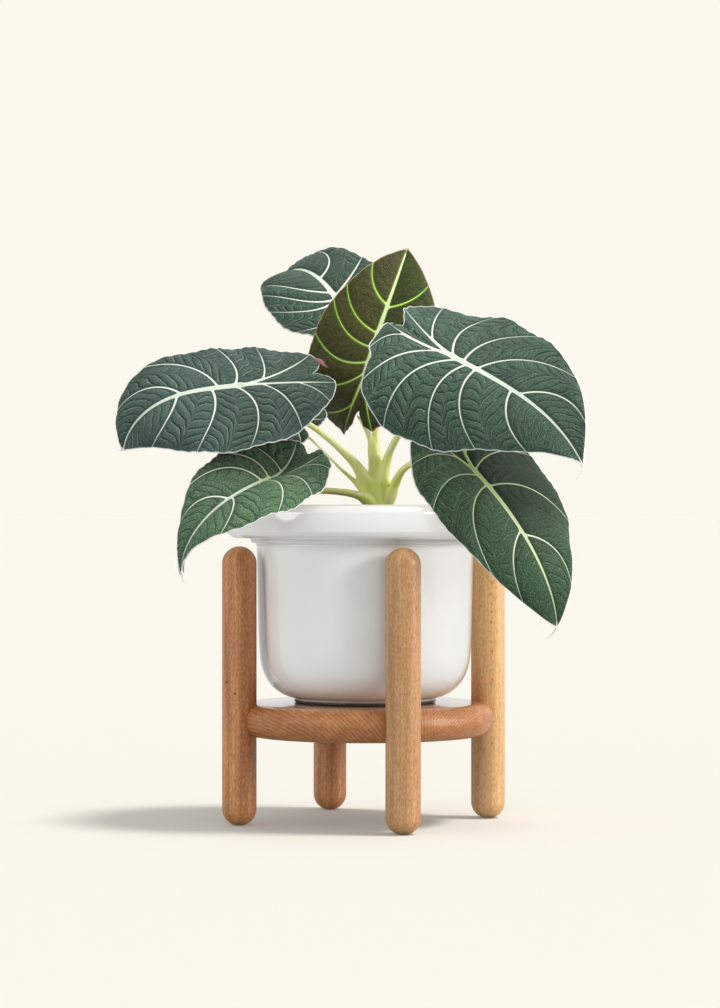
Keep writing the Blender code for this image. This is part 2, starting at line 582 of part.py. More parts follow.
def build():
    clear_scene()
    root = bpy.data.objects.new("stand_axis", None)
    bpy.context.scene.collection.objects.link(root)
    pieces = [leg(name) for name in LEG_ANGLES]
    pieces += [shelf(), pot(), soil(), crown()]
    pieces += [blade(name, leaf) for name, leaf in LEAVES.items()]
    cutters = [thing for thing in bpy.data.objects if thing.name.startswith("notch_")]
    for thing in pieces + cutters:
        thing.parent = root
    root.location = Vector((STAND_X, STAND_Y, 0.0)) * MM


build()
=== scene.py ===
"""Potted black velvet alocasia on its beech stand, dressed for the picture.

The seven blades, the crown, the pot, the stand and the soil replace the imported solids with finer
pieces of the same form. Lengths are in millimetres (MM turns them into metres), angles in degrees.
"""

import json
import math

import bmesh
import bpy
import numpy as np
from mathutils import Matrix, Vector, noise

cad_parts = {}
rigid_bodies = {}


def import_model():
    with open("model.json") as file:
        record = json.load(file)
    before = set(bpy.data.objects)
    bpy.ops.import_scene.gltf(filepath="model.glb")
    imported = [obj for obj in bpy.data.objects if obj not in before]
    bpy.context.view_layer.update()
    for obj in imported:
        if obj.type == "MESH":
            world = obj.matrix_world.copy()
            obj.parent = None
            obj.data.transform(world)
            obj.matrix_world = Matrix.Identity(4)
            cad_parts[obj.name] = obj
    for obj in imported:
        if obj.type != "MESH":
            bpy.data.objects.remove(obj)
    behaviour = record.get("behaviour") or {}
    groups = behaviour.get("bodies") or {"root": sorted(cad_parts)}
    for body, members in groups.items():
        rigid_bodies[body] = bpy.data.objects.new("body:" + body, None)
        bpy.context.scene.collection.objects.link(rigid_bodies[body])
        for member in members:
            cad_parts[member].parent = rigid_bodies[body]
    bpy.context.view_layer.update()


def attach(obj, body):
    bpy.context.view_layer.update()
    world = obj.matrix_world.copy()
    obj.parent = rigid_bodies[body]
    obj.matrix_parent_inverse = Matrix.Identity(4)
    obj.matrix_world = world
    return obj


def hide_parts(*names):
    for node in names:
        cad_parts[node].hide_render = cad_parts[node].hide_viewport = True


MM = 0.001
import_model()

# The stand's axis
STAND = Vector((13.5, 0.0, 0.0)) * MM

# Stand
LEG_RADIUS = 12.5
LEG_HEIGHT = 202.0
LEG_CIRCLE = 95.0
LEG_ANGLES = {"leg_front": 16.3, "leg_right": 106.3, "leg_back": 196.3, "leg_left": 286.3}
FOOT_FLAT = 3.0
SHELF_RADIUS = 94.0
SHELF_TOP = 87.5
SHELF_THICK = 24.0
GAP = 0.3

# Pot and soil
POT_BASE = SHELF_TOP + GAP
RIM_Z = POT_BASE + 144.5
WALL = 5.0
BODY_RADIUS = 79.5
LIP_RADIUS = 101.8
LIP_INNER = 86.0
LIP_HEIGHT = 24.5
FOOT_RADIUS = 52.0
SOIL_TOP = RIM_Z - 15.0
LUMP = 1.6
CROWN_X = 8.0
CROWN_Y = -2.0
CROWN_RADIUS = 10.0

# Blades
BLADE_THICK = 0.8
MIDRIB = 1.6
FAN = 50.0
BOW = 0.55
MIDRIB_HALF = 1.7
LOBE_SHAPE = ((-0.30, 0.965), (-0.64, 0.82), (-0.90, 0.57), (-1.00, 0.33), (-0.93, 0.13))
EDGE_CALM = 8.0
FOLD_HOLLOW = 5.0
ROW_STEP = 1.15                 # between two rows of points at the margin
COLUMN_STEP = 0.9               # between two points along a row
ROW_CROWDING = 0.5              # how much closer the rows lie beside a vein than between two
WEB = 0.6                       # how softly two veins flow together where they meet
PILLOW = 1.3                    # how far a blade swells between two lateral veins
ARCH_SPACING = 8.2              # between two arched veins along a lateral vein of a long blade
ARCH_RELIEF = 0.85
SEAM_AT = 0.57                  # where the arches of two lateral veins meet, from the tip's side
ARCH_REACH = (0.85, 0.6)        # how far they run to the margin, on the seam's two sides

# Light: what the camera sees behind, the even fill, what gloss mirrors, and the suns, each a
# (turn from -Y towards +X, height, strength, angle across, colour)
BACKDROP = (0.973, 0.939, 0.847)
FLOOR_BOUNCE = (0.62, 0.625, 0.62, 1.0)
FILL = 0.48
FILL_COLOR = (1.0, 0.995, 0.985)
MIRRORED = 0.9
SUNS = {"key": (66.0, 60.0, 1.9, 30.0, (1.0, 0.985, 0.955)),
        "side": (77.0, 17.0, 2.5, 30.0, (1.0, 0.99, 0.97)),
        "front": (-48.0, 24.0, 0.75, 40.0, (1.0, 1.0, 1.0))}
POT_SUNS = {"pot key": (66.0, 74.0, 0.82, 30.0, (1.0, 0.995, 0.98)),
            "pot side": (61.0, 17.0, 1.95, 18.0, (1.0, 0.99, 0.965)),
            "pot front": (-68.0, 15.0, 1.1, 30.0, (0.98, 0.985, 0.965))}
CROWN_SUN = (-62.0, 2.0, 0.9, 40.0, (0.98, 1.0, 0.94))
FLOOR_SUN = (82.0, 63.0, 1.6, 13.0, (1.0, 1.0, 1.0))
FLOOR_FILL = (0.102, 0.143, 0.176)

# As in the part's source. The scene adds which lateral veins fork off the last one of their side
# (vein and share of that one's length), how thick midrib and laterals are, the drip tip (length and
# aim) and how strongly the blade is quilted by arched veins. A vein's third number is its own FAN.
# The scrap is the route, with half widths, of a bit of margin that curls over.
LEAVES = {
    "leaf_left": dict(
        at=(-89, -46, 318), heading=196, pitch=-8, roll=33, length=107, lobe=64, notch=53,
        half_width=(61, 45), taper=1.0, fullness=3.1, droop=(-26, 110), lobe_lift=-3,
        sweep=(-6, 25), twist=6, fold=(8, 5), fold_change=(6, 1), curl=(-48, 3), wave=1.2,
        veins=(((0.45, 16), (0.21, 45), (0.04, 82), (0, 117), (0, 143), (0, 160, 72)),
               ((0.42, 14), (0.16, 33), (0.04, 81), (0, 119), (0, 159))),
        corners=((1, 20, 9, 1.2), (0, 168, 3, -1.5)),
        forks=({3: 0.22, 4: 0.58}, {3: 0.25}), ribs=(1.6, 1.05), tail=(4.5, (-1, 0, 0.1)), quilt=1.15,
        scrap=((-36.2, -14.6, 337.6, 1.6), (-32.6, -18.2, 336.4, 1.9), (-30.2, -20.4, 333.8, 1.2),
               (-26.6, -20.8, 331.4, 0.3))),
    "leaf_low_left": dict(
        at=(-68, -71, 250), heading=222, pitch=-17, roll=14, length=108, lobe=46, notch=47,
        half_width=(44, 39), taper=1.5, fullness=2.3, droop=(6, 88), lobe_lift=-23,
        sweep=(-1, -25), twist=-3, fold=(30, 39), fold_change=(23, 25), curl=(-74, -14), wave=1.4,
        veins=(((0.34, 20), (0.06, 56), (0, 93), (0, 128), (0, 155)),
               ((0.36, 12), (0.06, 31), (0, 66), (0, 100), (0, 158))),
        corners=((0, 154, 9, -2.0), (0, 132, 3, 1.2), (1, 150, 20, -5.0)),
        forks=({3: 0.45}, {3: 0.3}), ribs=(1.2, 0.85), tail=(7, (0.5, 0, -0.9)), quilt=0.9),
    "leaf_back": dict(
        at=(-22, 94, 389), heading=136, pitch=49, roll=16, length=106, lobe=50, notch=44,
        half_width=(57, 49), taper=1.15, fullness=1.8, droop=(57, 70), lobe_lift=-6,
        sweep=(8, -1), twist=6, fold=(6, 24), fold_change=(8, 1), curl=(-29, -24), wave=1.2,
        veins=(((0.07, 31), (0, 56), (0, 84), (0, 118), (0, 157)),
               ((0.24, 25), (0.03, 57, 8), (0, 98), (0, 157))),
        corners=(),
        forks=({3: 0.3}, {2: 0.3}), ribs=(1.2, 1.1), tail=(3, (-0.5, 0, -1)), quilt=0.9),
    "leaf_young": dict(
        at=(1, 8, 330), heading=36, pitch=72, roll=-26, length=106, lobe=44, notch=30,
        half_width=(51, 52), taper=0.9, fullness=1.9, droop=(10, 16), lobe_lift=9,
        sweep=(-12, 25), twist=-31, fold=(5, -3), fold_change=(-6, -8), curl=(-9, -22), wave=0.8,
        veins=(((0.51, 14), (0.29, 29), (0.18, 40), (0.07, 66), (0, 98), (0, 126), (0, 158)),
               ((0.49, 17), (0.28, 33), (0.12, 55), (0.03, 85), (0, 115), (0, 158))),
        corners=((0, 156, 3, 3.0), (1, 158, 3, 2.0)),
        forks=({5: 0.5}, {4: 0.4}), ribs=(1.2, 0.75), tail=(2.5, (0.6, 0, 0.8)), quilt=0.5),
    "leaf_right": dict(
        at=(62, -80, 337), heading=-33, pitch=-26, roll=-35, length=146, lobe=54, notch=45,
        half_width=(62, 76), taper=1.15, fullness=1.8, droop=(-24, 38), lobe_lift=-30,
        sweep=(-15, -14), twist=-15, fold=(-1, 10), fold_change=(-5, 11), curl=(-7, -65), wave=1.6,
        veins=(((0.44, 8), (0.15, 26), (0.06, 64), (0, 98), (0, 128), (0, 162)),
               ((0.39, 14), (0.15, 36), (0.09, 63), (0.03, 95), (0, 118), (0, 137), (0, 162))),
        corners=((1, 114, 7, 3.8), (1, 131, 4, -2.5), (1, 139, 4, 1.8), (0, 158, 3, -2.2)),
        forks=({4: 0.38}, {4: 0.22, 5: 0.7}), ribs=(1.12, 0.95), tail=(13, (-0.8, 0, -0.7)), quilt=1.1),
    "leaf_low_right": dict(
        at=(78, -67, 256), heading=-39, pitch=-41, roll=-35, length=137, lobe=51, notch=44,
        half_width=(54, 52), taper=1.0, fullness=2.1, droop=(12, 70), lobe_lift=0,
        sweep=(-8, 6), twist=-8, fold=(-5, 28), fold_change=(13, 22), curl=(-24, -34), wave=1.2,
        veins=(((0.45, 10), (0.12, 34), (0, 87), (0, 120), (0, 157)),
               ((0.42, 12), (0.11, 25), (0.03, 72), (0, 112), (0, 160))),
        corners=((0, 35, 5, 2.2), (0, 22, 6, -2.2)),
        forks=({3: 0.3}, {3: 0.3}), ribs=(0.95, 0.72), tail=(15, (-0.9, 0, -0.5)), quilt=0.5),
    "leaf_small": dict(
        at=(-59, 3, 299), heading=164, pitch=33, roll=56, length=65, lobe=28, notch=15,
        half_width=(30, 31), taper=1.1, fullness=2.3, droop=(30, 28), lobe_lift=-18,
        sweep=(6, -7), twist=-9, fold=(15, 5), fold_change=(0, 1), curl=(16, -64), wave=0.6,
        veins=(((0.45, 14), (0.17, 34), (0.04, 72), (0, 115), (0, 152)),
               ((0.45, 14), (0.17, 34), (0.04, 72), (0, 115), (0, 152))),
        corners=((0, 120, 9, 1.0),),
        forks=({3: 0.3}, {3: 0.3}), ribs=(1.0, 0.9), tail=(3, (-0.5, 0, -1)), quilt=0.8),
}

STALKS = {
    "leaf_left": ((8, -3, 226, 7), (3, -4, 243, 6.5), (-2, -5, 254, 5), (-11, -7, 266, 3.2),
                  (-34, -14, 286, 2.3), (-64, -25, 304, 2.2)),
    "leaf_low_left": ((9, -5, 228, 5.5), (3, -9, 234, 5), (-5, -13, 239, 3.2), (-18, -24, 241.5, 2.6),
                      (-36, -41, 242.5, 2.4), (-56, -58, 243, 2.3)),
    "leaf_small": ((7, -4, 226, 5), (1, -5, 239, 3.5), (-8, -4, 249.5, 1.9), (-18, -2, 258.5, 1.3),
                   (-32, 3, 273, 1.2), (-52, 9, 291, 1.2)),
    "leaf_back": ((9, 2, 228, 6), (6, 4, 250, 3.8), (4.5, 8, 266, 2.2), (4, 16, 284, 2.0),
                  (3, 36, 312, 2.0), (-6, 74, 345, 2.0), (-20, 99, 369, 2.0)),
    "leaf_young": ((8, -1, 226, 8), (8, -1, 248, 6.5), (8, 0, 264, 4.6), (7.5, 1, 281, 3.4),
                   (9, 5, 292, 2.4), (9, 12, 308, 2.1)),
    "leaf_right": ((10, -4, 226, 7), (13, -4, 252, 5), (16, -6, 265, 3.4), (20, -13, 275, 2.8),
                   (28, -28, 289, 2.5), (45, -55, 312, 2.3)),
    "leaf_low_right": ((11, -4, 228, 6), (18, -6, 238, 5), (22, -9, 248, 3.6), (28, -19, 258, 2.6),
                       (38, -32, 263, 2.3), (58, -50, 263, 2.2)),
}
SHEATH = {
    "hood": ((8, -2, 258, 4.2), (6.5, -1, 274, 3.6), (3, 1.5, 284, 2.8), (-1, 4, 291, 1.8),
             (-6, 6, 298, 0.7)),
    "edge": ((6, -4, 256, 2.5), (3.6, -4.5, 266, 1.5), (3.2, -3, 277, 1.4), (3.6, 0, 286, 1.4)),
}
SEAT_LENGTH = 7.0


# Shader nodes

def put(tree, kind, inputs=None, **settings):
    """Adds a shader node. An input is a value or the socket that feeds it."""
    node = tree.nodes.new(kind)
    for key, value in settings.items():
        setattr(node, key, value)
    for key, value in (inputs or {}).items():
        if isinstance(value, bpy.types.NodeSocket):
            tree.links.new(value, node.inputs[key])
        else:
            node.inputs[key].default_value = value
    return node


def math_node(tree, operation, first, second=0.0, third=0.0):
    return put(tree, "ShaderNodeMath", {0: first, 1: second, 2: third}, operation=operation).outputs[0]


def ramp(tree, value, low, high, to_low=0.0, to_high=1.0):
    """Maps low..high to to_low..to_high with soft ends."""
    return put(tree, "ShaderNodeMapRange", {"Value": value, "From Min": low, "From Max": high,
                                            "To Min": to_low, "To Max": to_high},
               interpolation_type="SMOOTHSTEP").outputs["Result"]


def blend(tree, share, first, second, mode="MIX"):
    node = put(tree, "ShaderNodeMix", data_type="RGBA", blend_type=mode)
    for key, value in ((0, share), (6, first), (7, second)):
        if isinstance(value, bpy.types.NodeSocket):
            tree.links.new(value, node.inputs[key])
        else:
            node.inputs[key].default_value = value
    return node.outputs[2]


def rgb(red, green, blue):
    """A colour written as it looks on screen, 0 to 255, as the shader wants it."""
    return tuple((c / 255.0 / 12.92) if c < 10.3 else ((c / 255.0 + 0.055) / 1.055) ** 2.4
                 for c in (red, green, blue)) + (1.0,)


def noise_value(tree, vector, scale, detail=3.0, roughness=0.55, distortion=0.0):
    return put(tree, "ShaderNodeTexNoise", {"Vector": vector, "Scale": scale, "Detail": detail,
                                            "Roughness": roughness, "Distortion": distortion}
               ).outputs["Fac"]


def attribute(tree, name):
    return put(tree, "ShaderNodeAttribute", attribute_name=name).outputs["Fac"]


def new_group(name, inputs, outputs):
    """A node group with named sockets: inputs are (name, kind, value), outputs (name, kind)."""
    group = bpy.data.node_groups.new(name, "ShaderNodeTree")
    for label, kind, value in inputs:
        socket = group.interface.new_socket(label, in_out="INPUT", socket_type="NodeSocket" + kind)
        if value is not None:
            socket.default_value = value
    for label, kind in outputs:
        group.interface.new_socket(label, in_out="OUTPUT", socket_type="NodeSocket" + kind)
    return group, group.nodes.new("NodeGroupInput"), group.nodes.new("NodeGroupOutput")


def use_group(tree, group, inputs):
    node = tree.nodes.new("ShaderNodeGroup")
    node.node_tree = group
    for key, value in inputs.items():
        if isinstance(value, bpy.types.NodeSocket):
            tree.links.new(value, node.inputs[key])
        else:
            node.inputs[key].default_value = value
    return node.outputs


def new_material(name, **constants):
    """A material with its Principled shader; constants are set on the shader's own sockets."""
    made = bpy.data.materials.new(name)
    made.use_nodes = True
    shader = made.node_tree.nodes["Principled BSDF"]
    for key, value in constants.items():
        shader.inputs[key.replace("_", " ")].default_value = value
    return made, made.node_tree, shader


def object_place(tree, centre=(0.0, 0.0, 0.0), turn=(0.0, 0.0, 0.0), scale=(1.0, 1.0, 1.0)):
    """Object coordinates, moved so that centre is zero, then turned and stretched."""
    place = put(tree, "ShaderNodeTexCoord").outputs["Object"]
    moved = put(tree, "ShaderNodeVectorMath", {0: place, 1: tuple(-c for c in centre)}, operation="ADD")
    mapping = put(tree, "ShaderNodeMapping", {"Vector": moved.outputs[0], "Rotation": turn, "Scale": scale})
    return mapping.outputs[0]


# The form of a blade, as in the part

def smooth_route(knots, steps):
    """Points of a smooth curve through the knots (Catmull-Rom), steps to a span."""
    knots = np.asarray(knots, float)
    framed = np.vstack([2 * knots[0] - knots[1], knots, 2 * knots[-1] - knots[-2]])
    curve = []
    for i in range(len(knots) - 1):
        a, b, c, d = framed[i:i + 4]
        for t in np.arange(steps[i]) / steps[i]:
            curve.append(0.5 * (2 * b + (c - a) * t + (2 * a - 5 * b + 4 * c - d) * t ** 2
                                + (3 * b - a - 3 * c + d) * t ** 3))
    return np.array(curve + [knots[-1]])


def half_outline(leaf, side):
    """The flat blade's edge on one side, from tip to notch, as (forward, outward) points."""
    width = leaf["half_width"][side]
    u = 1.0 - np.linspace(0.0, 1.0, 40) ** 1.6
    front = np.stack([u * leaf["length"], width * (1.0 - u ** leaf["fullness"]) ** leaf["taper"]], -1)
    back = [front[-6], (0.0, width)] + [(a * leaf["lobe"], b * width) for a, b in LOBE_SHAPE]
    back = smooth_route(back + [(-leaf["notch"], 0.0)], [1] + [8] * (len(LOBE_SHAPE) + 1))
    return np.vstack([front, back[2:]])


def edge_point(leaf, side, end):
    """Points of the blade's edge at angles end about the junction, corners and dents included."""
    edge = half_outline(leaf, side)
    end = np.asarray(end, float)
    angles = np.maximum.accumulate(np.degrees(np.arctan2(edge[:, 1], edge[:, 0])))
    point = np.stack([np.interp(end, angles, edge[:, 0]), np.interp(end, angles, edge[:, 1])], -1)
    out = np.zeros_like(end)
    for where, at, spread, size in leaf["corners"]:
        if where == side:
            out = out + size * np.exp(-((end - at) / spread) ** 2)
    out = out * np.clip(np.minimum(end, 180.0 - end) / EDGE_CALM, 0.0, 1.0)
    return point * (1.0 + out / np.linalg.norm(point, axis=-1))[..., None]


def bezier(first, bend, last, shares):
    q = np.asarray(shares)[:, None]
    return (1 - q) ** 2 * first + 2 * q * (1 - q) * bend + q ** 2 * last


def vein(leaf, side, start, end, shares, fan=FAN):
    """Points of a vein in the flat blade: it leaves the midrib wide and bends towards the tip."""
    last = edge_point(leaf, side, end)
    beside = MIDRIB_HALF * min(1.0, 25.0 * start) * (1.0 - start)
    first = np.array([start * leaf["length"], beside])
    leave = math.radians(end + fan * (1.0 - (end / 180.0) ** 2))
    reach = BOW * np.linalg.norm(last - first)
    bend = first + reach * np.array([math.cos(leave), math.sin(leave)])
    return bezier(first, bend, last, shares)


def side_veins(leaf, side, shares):
    """The lateral veins of one side, each a flat curve from the midrib or junction to the margin."""
    mains = leaf["veins"][side]
    costa = vein(leaf, side, *mains[-1][:2], shares, *mains[-1][2:])
    curves = []
    for number, (start, end, *fan) in enumerate(mains):
        curve = vein(leaf, side, start, end, shares, *fan)
        if number in leaf["forks"][side]:
            at = int(leaf["forks"][side][number] * (len(shares) - 1))
            first, last = costa[at], curve[-1]
            toward, along = last - first, costa[at + 1] - first
            bend = first + 0.3 * toward + 0.2 * np.linalg.norm(toward) * along / np.linalg.norm(along)
            local = (shares[at:] - shares[at]) / (1.0 - shares[at])
            curve = np.vstack([costa[:at], bezier(first, bend, last, local)])
        curves.append(curve)
    return curves


def midrib_line(leaf, s):
    """Place and directions (left, up) of the bent midrib at distances s from the stalk."""
    length, lobe = leaf["length"], leaf["lobe"]
    table = np.linspace(-1.1 * lobe, 1.02 * length, 240)
    share = np.where(table > 0, table / length, table / lobe)
    droop, sweep = leaf["droop"], leaf["sweep"]
    down = np.where(share > 0, droop[0] * share + droop[1] * share ** 2,
                    -leaf["lobe_lift"] * np.abs(share) ** 1.3)
    side = np.where(share > 0, sweep[0] * share + sweep[1] * share ** 2, 0.5 * sweep[0] * share)
    down, side = np.radians(down), np.radians(side)
    forward = np.stack([np.cos(down) * np.cos(side), np.cos(down) * np.sin(side), -np.sin(down)], -1)
    step = table[1] - table[0]
    line = np.vstack([np.zeros(3), np.cumsum((forward[1:] + forward[:-1]) / 2 * step, 0)])
    line -= [np.interp(0.0, table, line[:, k]) for k in range(3)]
    place = np.stack([np.interp(s, table, line[:, k]) for k in range(3)], -1)
    down, side = np.interp(s, table, down), np.interp(s, table, side)
    forward = np.stack([np.cos(down) * np.cos(side), np.cos(down) * np.sin(side), -np.sin(down)], -1)
    left = np.stack([-np.sin(side), np.cos(side), 0 * side], -1)
    up = np.cross(forward, left)
    turn = np.radians(leaf["twist"] * np.where(s > 0, s / length, s / lobe))[:, None]
    return place, left * np.cos(turn) - up * np.sin(turn), up * np.cos(turn) + left * np.sin(turn)


def blade_axes(leaf):
    """The blade's forward, left and up directions where the stalk meets it."""
    heading, pitch, roll = (math.radians(leaf[k]) for k in ("heading", "pitch", "roll"))
    forward = np.array([math.cos(heading) * math.cos(pitch), math.sin(heading) * math.cos(pitch),
                        math.sin(pitch)])
    level = np.array([-math.sin(heading), math.cos(heading), 0.0])
    above = np.cross(forward, level)
    left = level * math.cos(roll) - above * math.sin(roll)
    up = above * math.cos(roll) + level * math.sin(roll)
    return forward, left, up


def bent_blade(leaf, s, t, ripple):
    """Bends flat points (s forward, t to the left) into the leaf's place in space."""
    place, left, up = midrib_line(leaf, s)
    is_left = t >= 0
    pick = lambda name: np.where(is_left, leaf[name][0], leaf[name][1])
    share = np.where(s > 0, s / leaf["length"], s / leaf["lobe"])
    fold = np.radians(pick("fold") - pick("fold_change") * share)
    curl = np.radians(pick("curl"))
    width = pick("half_width")
    end = fold + curl * np.abs(t) / width
    out = (np.sin(end) - np.sin(fold)) * width / curl
    rise = (np.cos(fold) - np.cos(end)) * width / curl + ripple
    hollow = FOLD_HOLLOW * np.clip(-3.0 * s / leaf["lobe"], 0.0, 1.0)
    rise -= np.sin(fold) * (np.abs(t) + hollow - np.hypot(t, hollow))
    local = place + left * np.where(is_left, out, -out)[:, None] + up * rise[:, None]
    return np.array(leaf["at"], float) + local @ np.array(blade_axes(leaf))


# Fine blades

def vein_network(leaf):
    """Every vein of a blade as a flat line with its half width at each point: (points, half)."""
    shares = np.linspace(0.0, 1.0, 41)
    main, size = (thick * (0.62 + 0.38 * leaf["length"] / 146.0) for thick in leaf["ribs"])
    midrib = np.stack([shares * leaf["length"], 0 * shares], -1)
    lines = [(midrib, main * (2.0 * (1 - shares) ** 1.25 + 0.32))]
    for side in (0, 1):
        curves = side_veins(leaf, side, shares)
        for number, curve in enumerate(curves):
            half = size * (0.62 * (1 - shares) ** 1.2 + 0.28)
            if number == len(curves) - 1:
                half = size * (1.15 * (1 - shares) ** 1.1 + 0.3)
            lines.append((curve * (1.0, 1.0 if side == 0 else -1.0), half))
    return lines


def vein_distance(leaf, flat):
    """How far outside the nearest vein's edge each flat point lies; below zero is inside it."""
    total = np.zeros(len(flat))
    for line, half in vein_network(leaf):
        nearest = np.full(len(flat), 99.0)
        for first, second, wide, thin in zip(line[:-1], line[1:], half[:-1], half[1:]):
            along = second - first
            share = np.clip((flat - first) @ along / max(along @ along, 1e-9), 0.0, 1.0)
            away = np.linalg.norm(flat - first - share[:, None] * along, axis=1)
            nearest = np.minimum(nearest, away - wide - share * (thin - wide))
        total += np.exp(-np.clip(nearest, -4.0, 30.0) / WEB)
    return -WEB * np.log(total)


def fine_rows(leaf, side):
    """Rows of flat points over half a blade, closer beside the veins, and what each point carries:
    distance along the row, place between two veins, share, edge angle, gap between the veins, how
    far the line across that gap leans along the row, and which gap it is."""
    reach = max(leaf["half_width"]) * 1.15
    shares = np.linspace(0.0, 1.0, int(reach / COLUMN_STEP)) ** 0.92
    mains = [(1.0, 0.0)] + list(leaf["veins"][side]) + [(0.0, 180.0)]
    curves = [vein(leaf, side, 1.0, 0.0, shares)] + side_veins(leaf, side, shares)
    curves.append(vein(leaf, side, 0.0, 180.0, shares))
    rows = []
    for number in range(len(curves) - 1):
        near, far = curves[number], curves[number + 1]
        gap = np.linalg.norm(far - near, axis=1)
        steps = max(6, int(gap[-1] / ROW_STEP))
        places = list(np.arange(steps) / steps) + ([1.0] if number == len(curves) - 2 else [])
        for place in places:
            x = place - ROW_CROWDING * math.sin(math.tau * place) / math.tau
            end = mains[number][1] + (mains[number + 1][1] - mains[number][1]) * x
            points = near + (far - near) * x
            reached = shares ** 2 * np.minimum(1.0, gap / gap[-1])
            points = points + (edge_point(leaf, side, end) - points[-1]) * reached[:, None]
            steps_along = np.linalg.norm(np.diff(points, axis=0), axis=1)
            along = np.concatenate([[0.0], np.cumsum(steps_along)])
            going = np.gradient(points, axis=0)
            going /= np.maximum(np.linalg.norm(going, axis=1, keepdims=True), 1e-6)
            lean = np.sum((far - near) * going, axis=1)
            same = np.ones(len(shares))
            values = [along, x * same, shares, end * same, gap, lean, number * same]
            rows.append((points, np.stack(values, -1)))
    return rows


def zipped(left, right, forward):
    """Triangles of the strip between two rows of points, both ordered by how far forward they lie."""
    i, j, triangles = 0, 0, []
    while i < len(left) - 1 or j < len(right) - 1:
        ahead = j == len(right) - 1 or (i < len(left) - 1 and forward[left[i + 1]] < forward[right[j + 1]])
        triangles.append((left[i], right[j], left[i + 1] if ahead else right[j + 1]))
        i, j = (i + 1, j) if ahead else (i, j + 1)
    return triangles


def fine_sheet(leaf):
    """The fine blade's flat points, what each carries with its side, and its faces, merged."""
    flats, carried, faces, banks, base = [], [], [], [], 0
    for side in (0, 1):
        rows = fine_rows(leaf, side)
        width = len(rows[0][0])
        banks.append([base + i * width for i in range(len(rows))][::-1])
        for points, values in rows:
            flats.append(points * (1.0, 1.0 if side == 0 else -1.0))
            carried.append(np.column_stack([values, np.full(width, side)]))
        a = (base + np.arange(len(rows) - 1)[:, None] * width + np.arange(width - 1)[None]).ravel()
        quad = np.stack([a, a + 1, a + width + 1, a + width], -1)
        faces += quad.tolist() if side == 0 else quad[:, ::-1].tolist()
        base += len(rows) * width
    flat = np.vstack(flats)
    faces += [list(t) for t in zipped(*banks, flat[:, 0])]
    key, first, same = np.unique(np.round(flat, 2) + 0.0, axis=0, return_index=True, return_inverse=True)
    same = same.reshape(-1)
    merged = []
    for face in faces:
        corners = list(dict.fromkeys(int(same[corner]) for corner in face))
        if len(corners) > 2:
            merged.append(corners)
    return flat[first], np.vstack(carried)[first], merged


def corner_normals(points, faces):
    """Normals of the points, from the diagonals of their faces."""
    padded = np.array([f if len(f) == 4 else f + [f[0]] for f in faces])
    across = np.cross(points[padded[:, 2]] - points[padded[:, 0]],
                      points[np.where(padded[:, 3] == padded[:, 0], padded[:, 1], padded[:, 3])]
                      - points[padded[:, 1]])
    triangle = padded[:, 3] == padded[:, 0]
    a, b, c = (points[padded[triangle, k]] for k in range(3))
    across[triangle] = np.cross(b - a, c - a)
    normal = np.zeros_like(points)
    for corner in range(4):
        use = np.ones(len(padded), bool) if corner < 3 else ~triangle
        np.add.at(normal, padded[use, corner], across[use])
    return normal / np.maximum(np.linalg.norm(normal, axis=1, keepdims=True), 1e-9)


def soft_step(value, low, high):
    x = np.clip((value - low) / (high - low), 0.0, 1.0)
    return x * x * (3 - 2 * x)


def tube_mesh(route, radii, sides):
    """Points and faces of a closed tube with rounded ends along a route."""
    tangents = np.gradient(route, axis=0)
    tangents /= np.linalg.norm(tangents, axis=1, keepdims=True)
    side = np.cross(tangents[0], (0.31, 0.92, 0.22))
    points, faces = [], []
    for place, along, radius in zip(route, tangents, radii):
        side = side - along * side.dot(along)
        side /= np.linalg.norm(side)
        other = np.cross(along, side)
        for k in range(sides):
            turn = math.tau * k / sides
            points.append(place + radius * (side * math.cos(turn) + other * math.sin(turn)))
    for ring in range(len(route) - 1):
        for k in range(sides):
            a, b = ring * sides + k, ring * sides + (k + 1) % sides
            faces.append([a, b, b + sides, a + sides])
    faces.append(list(range(sides))[::-1])
    faces.append(list(range(len(points) - sides, len(points))))
    return points, faces


def new_object(name, points, faces, material, attributes=None):
    """An object of points in millimetres about the stand's axis, with one value a point in each
    attribute."""
    mesh = bpy.data.meshes.new(name)
    mesh.from_pydata((np.asarray(points) * MM + np.array(STAND)).tolist(), [], faces)
    for label, values in (attributes or {}).items():
        layer = mesh.attributes.new(label, "FLOAT", "POINT")
        layer.data.foreach_set("value", np.asarray(values, np.float32))
    mesh.materials.append(material)
    mesh.shade_smooth()
    made = bpy.data.objects.new(name, mesh)
    bpy.context.scene.collection.objects.link(made)
    return made


def arches(leaf, along, place, gap, lean, number, side):
    """Where each point lies among the arched veins: whole numbers are on one. The arches leave a
    lateral vein squarely and bend towards the margin, where they meet those of the next vein.
    Beyond the first lateral veins they run out from the midrib instead."""
    spacing = ARCH_SPACING * (0.45 + 0.55 * leaf["length"] / 146.0)
    before = place < SEAM_AT
    width = np.where(before, SEAM_AT, 1.0 - SEAM_AT)
    inward = np.where(before, place, 1.0 - place) / width
    own = np.modf(0.618 * (number + 5.0 * side + 2.0))[0]
    other = np.modf(0.618 * (number + 1.0 + 5.0 * side + 2.0))[0]
    wander = 0.34 * np.sin(0.31 * along / spacing + 2.4 * number) + 0.2 * np.sin(0.09 * along + 9.0 * place)
    foot = along + np.where(before, place, place - 1.0) * lean
    bend = np.where(before, *ARCH_REACH) * gap * width * (1.0 - np.sqrt(1.0 - 0.9 * inward ** 2)) / 0.684
    free = leaf["length"] * (1.0 - np.array([leaf["veins"][k][0][0] for k in (0, 1)])[side.astype(int)])
    outward = ((1.0 - place) * free + 0.3 * along) / spacing + 0.1 * np.sin(0.3 * along)
    return np.where(number == 0, outward, (foot - bend) / spacing + np.where(before, own, other) + wander)


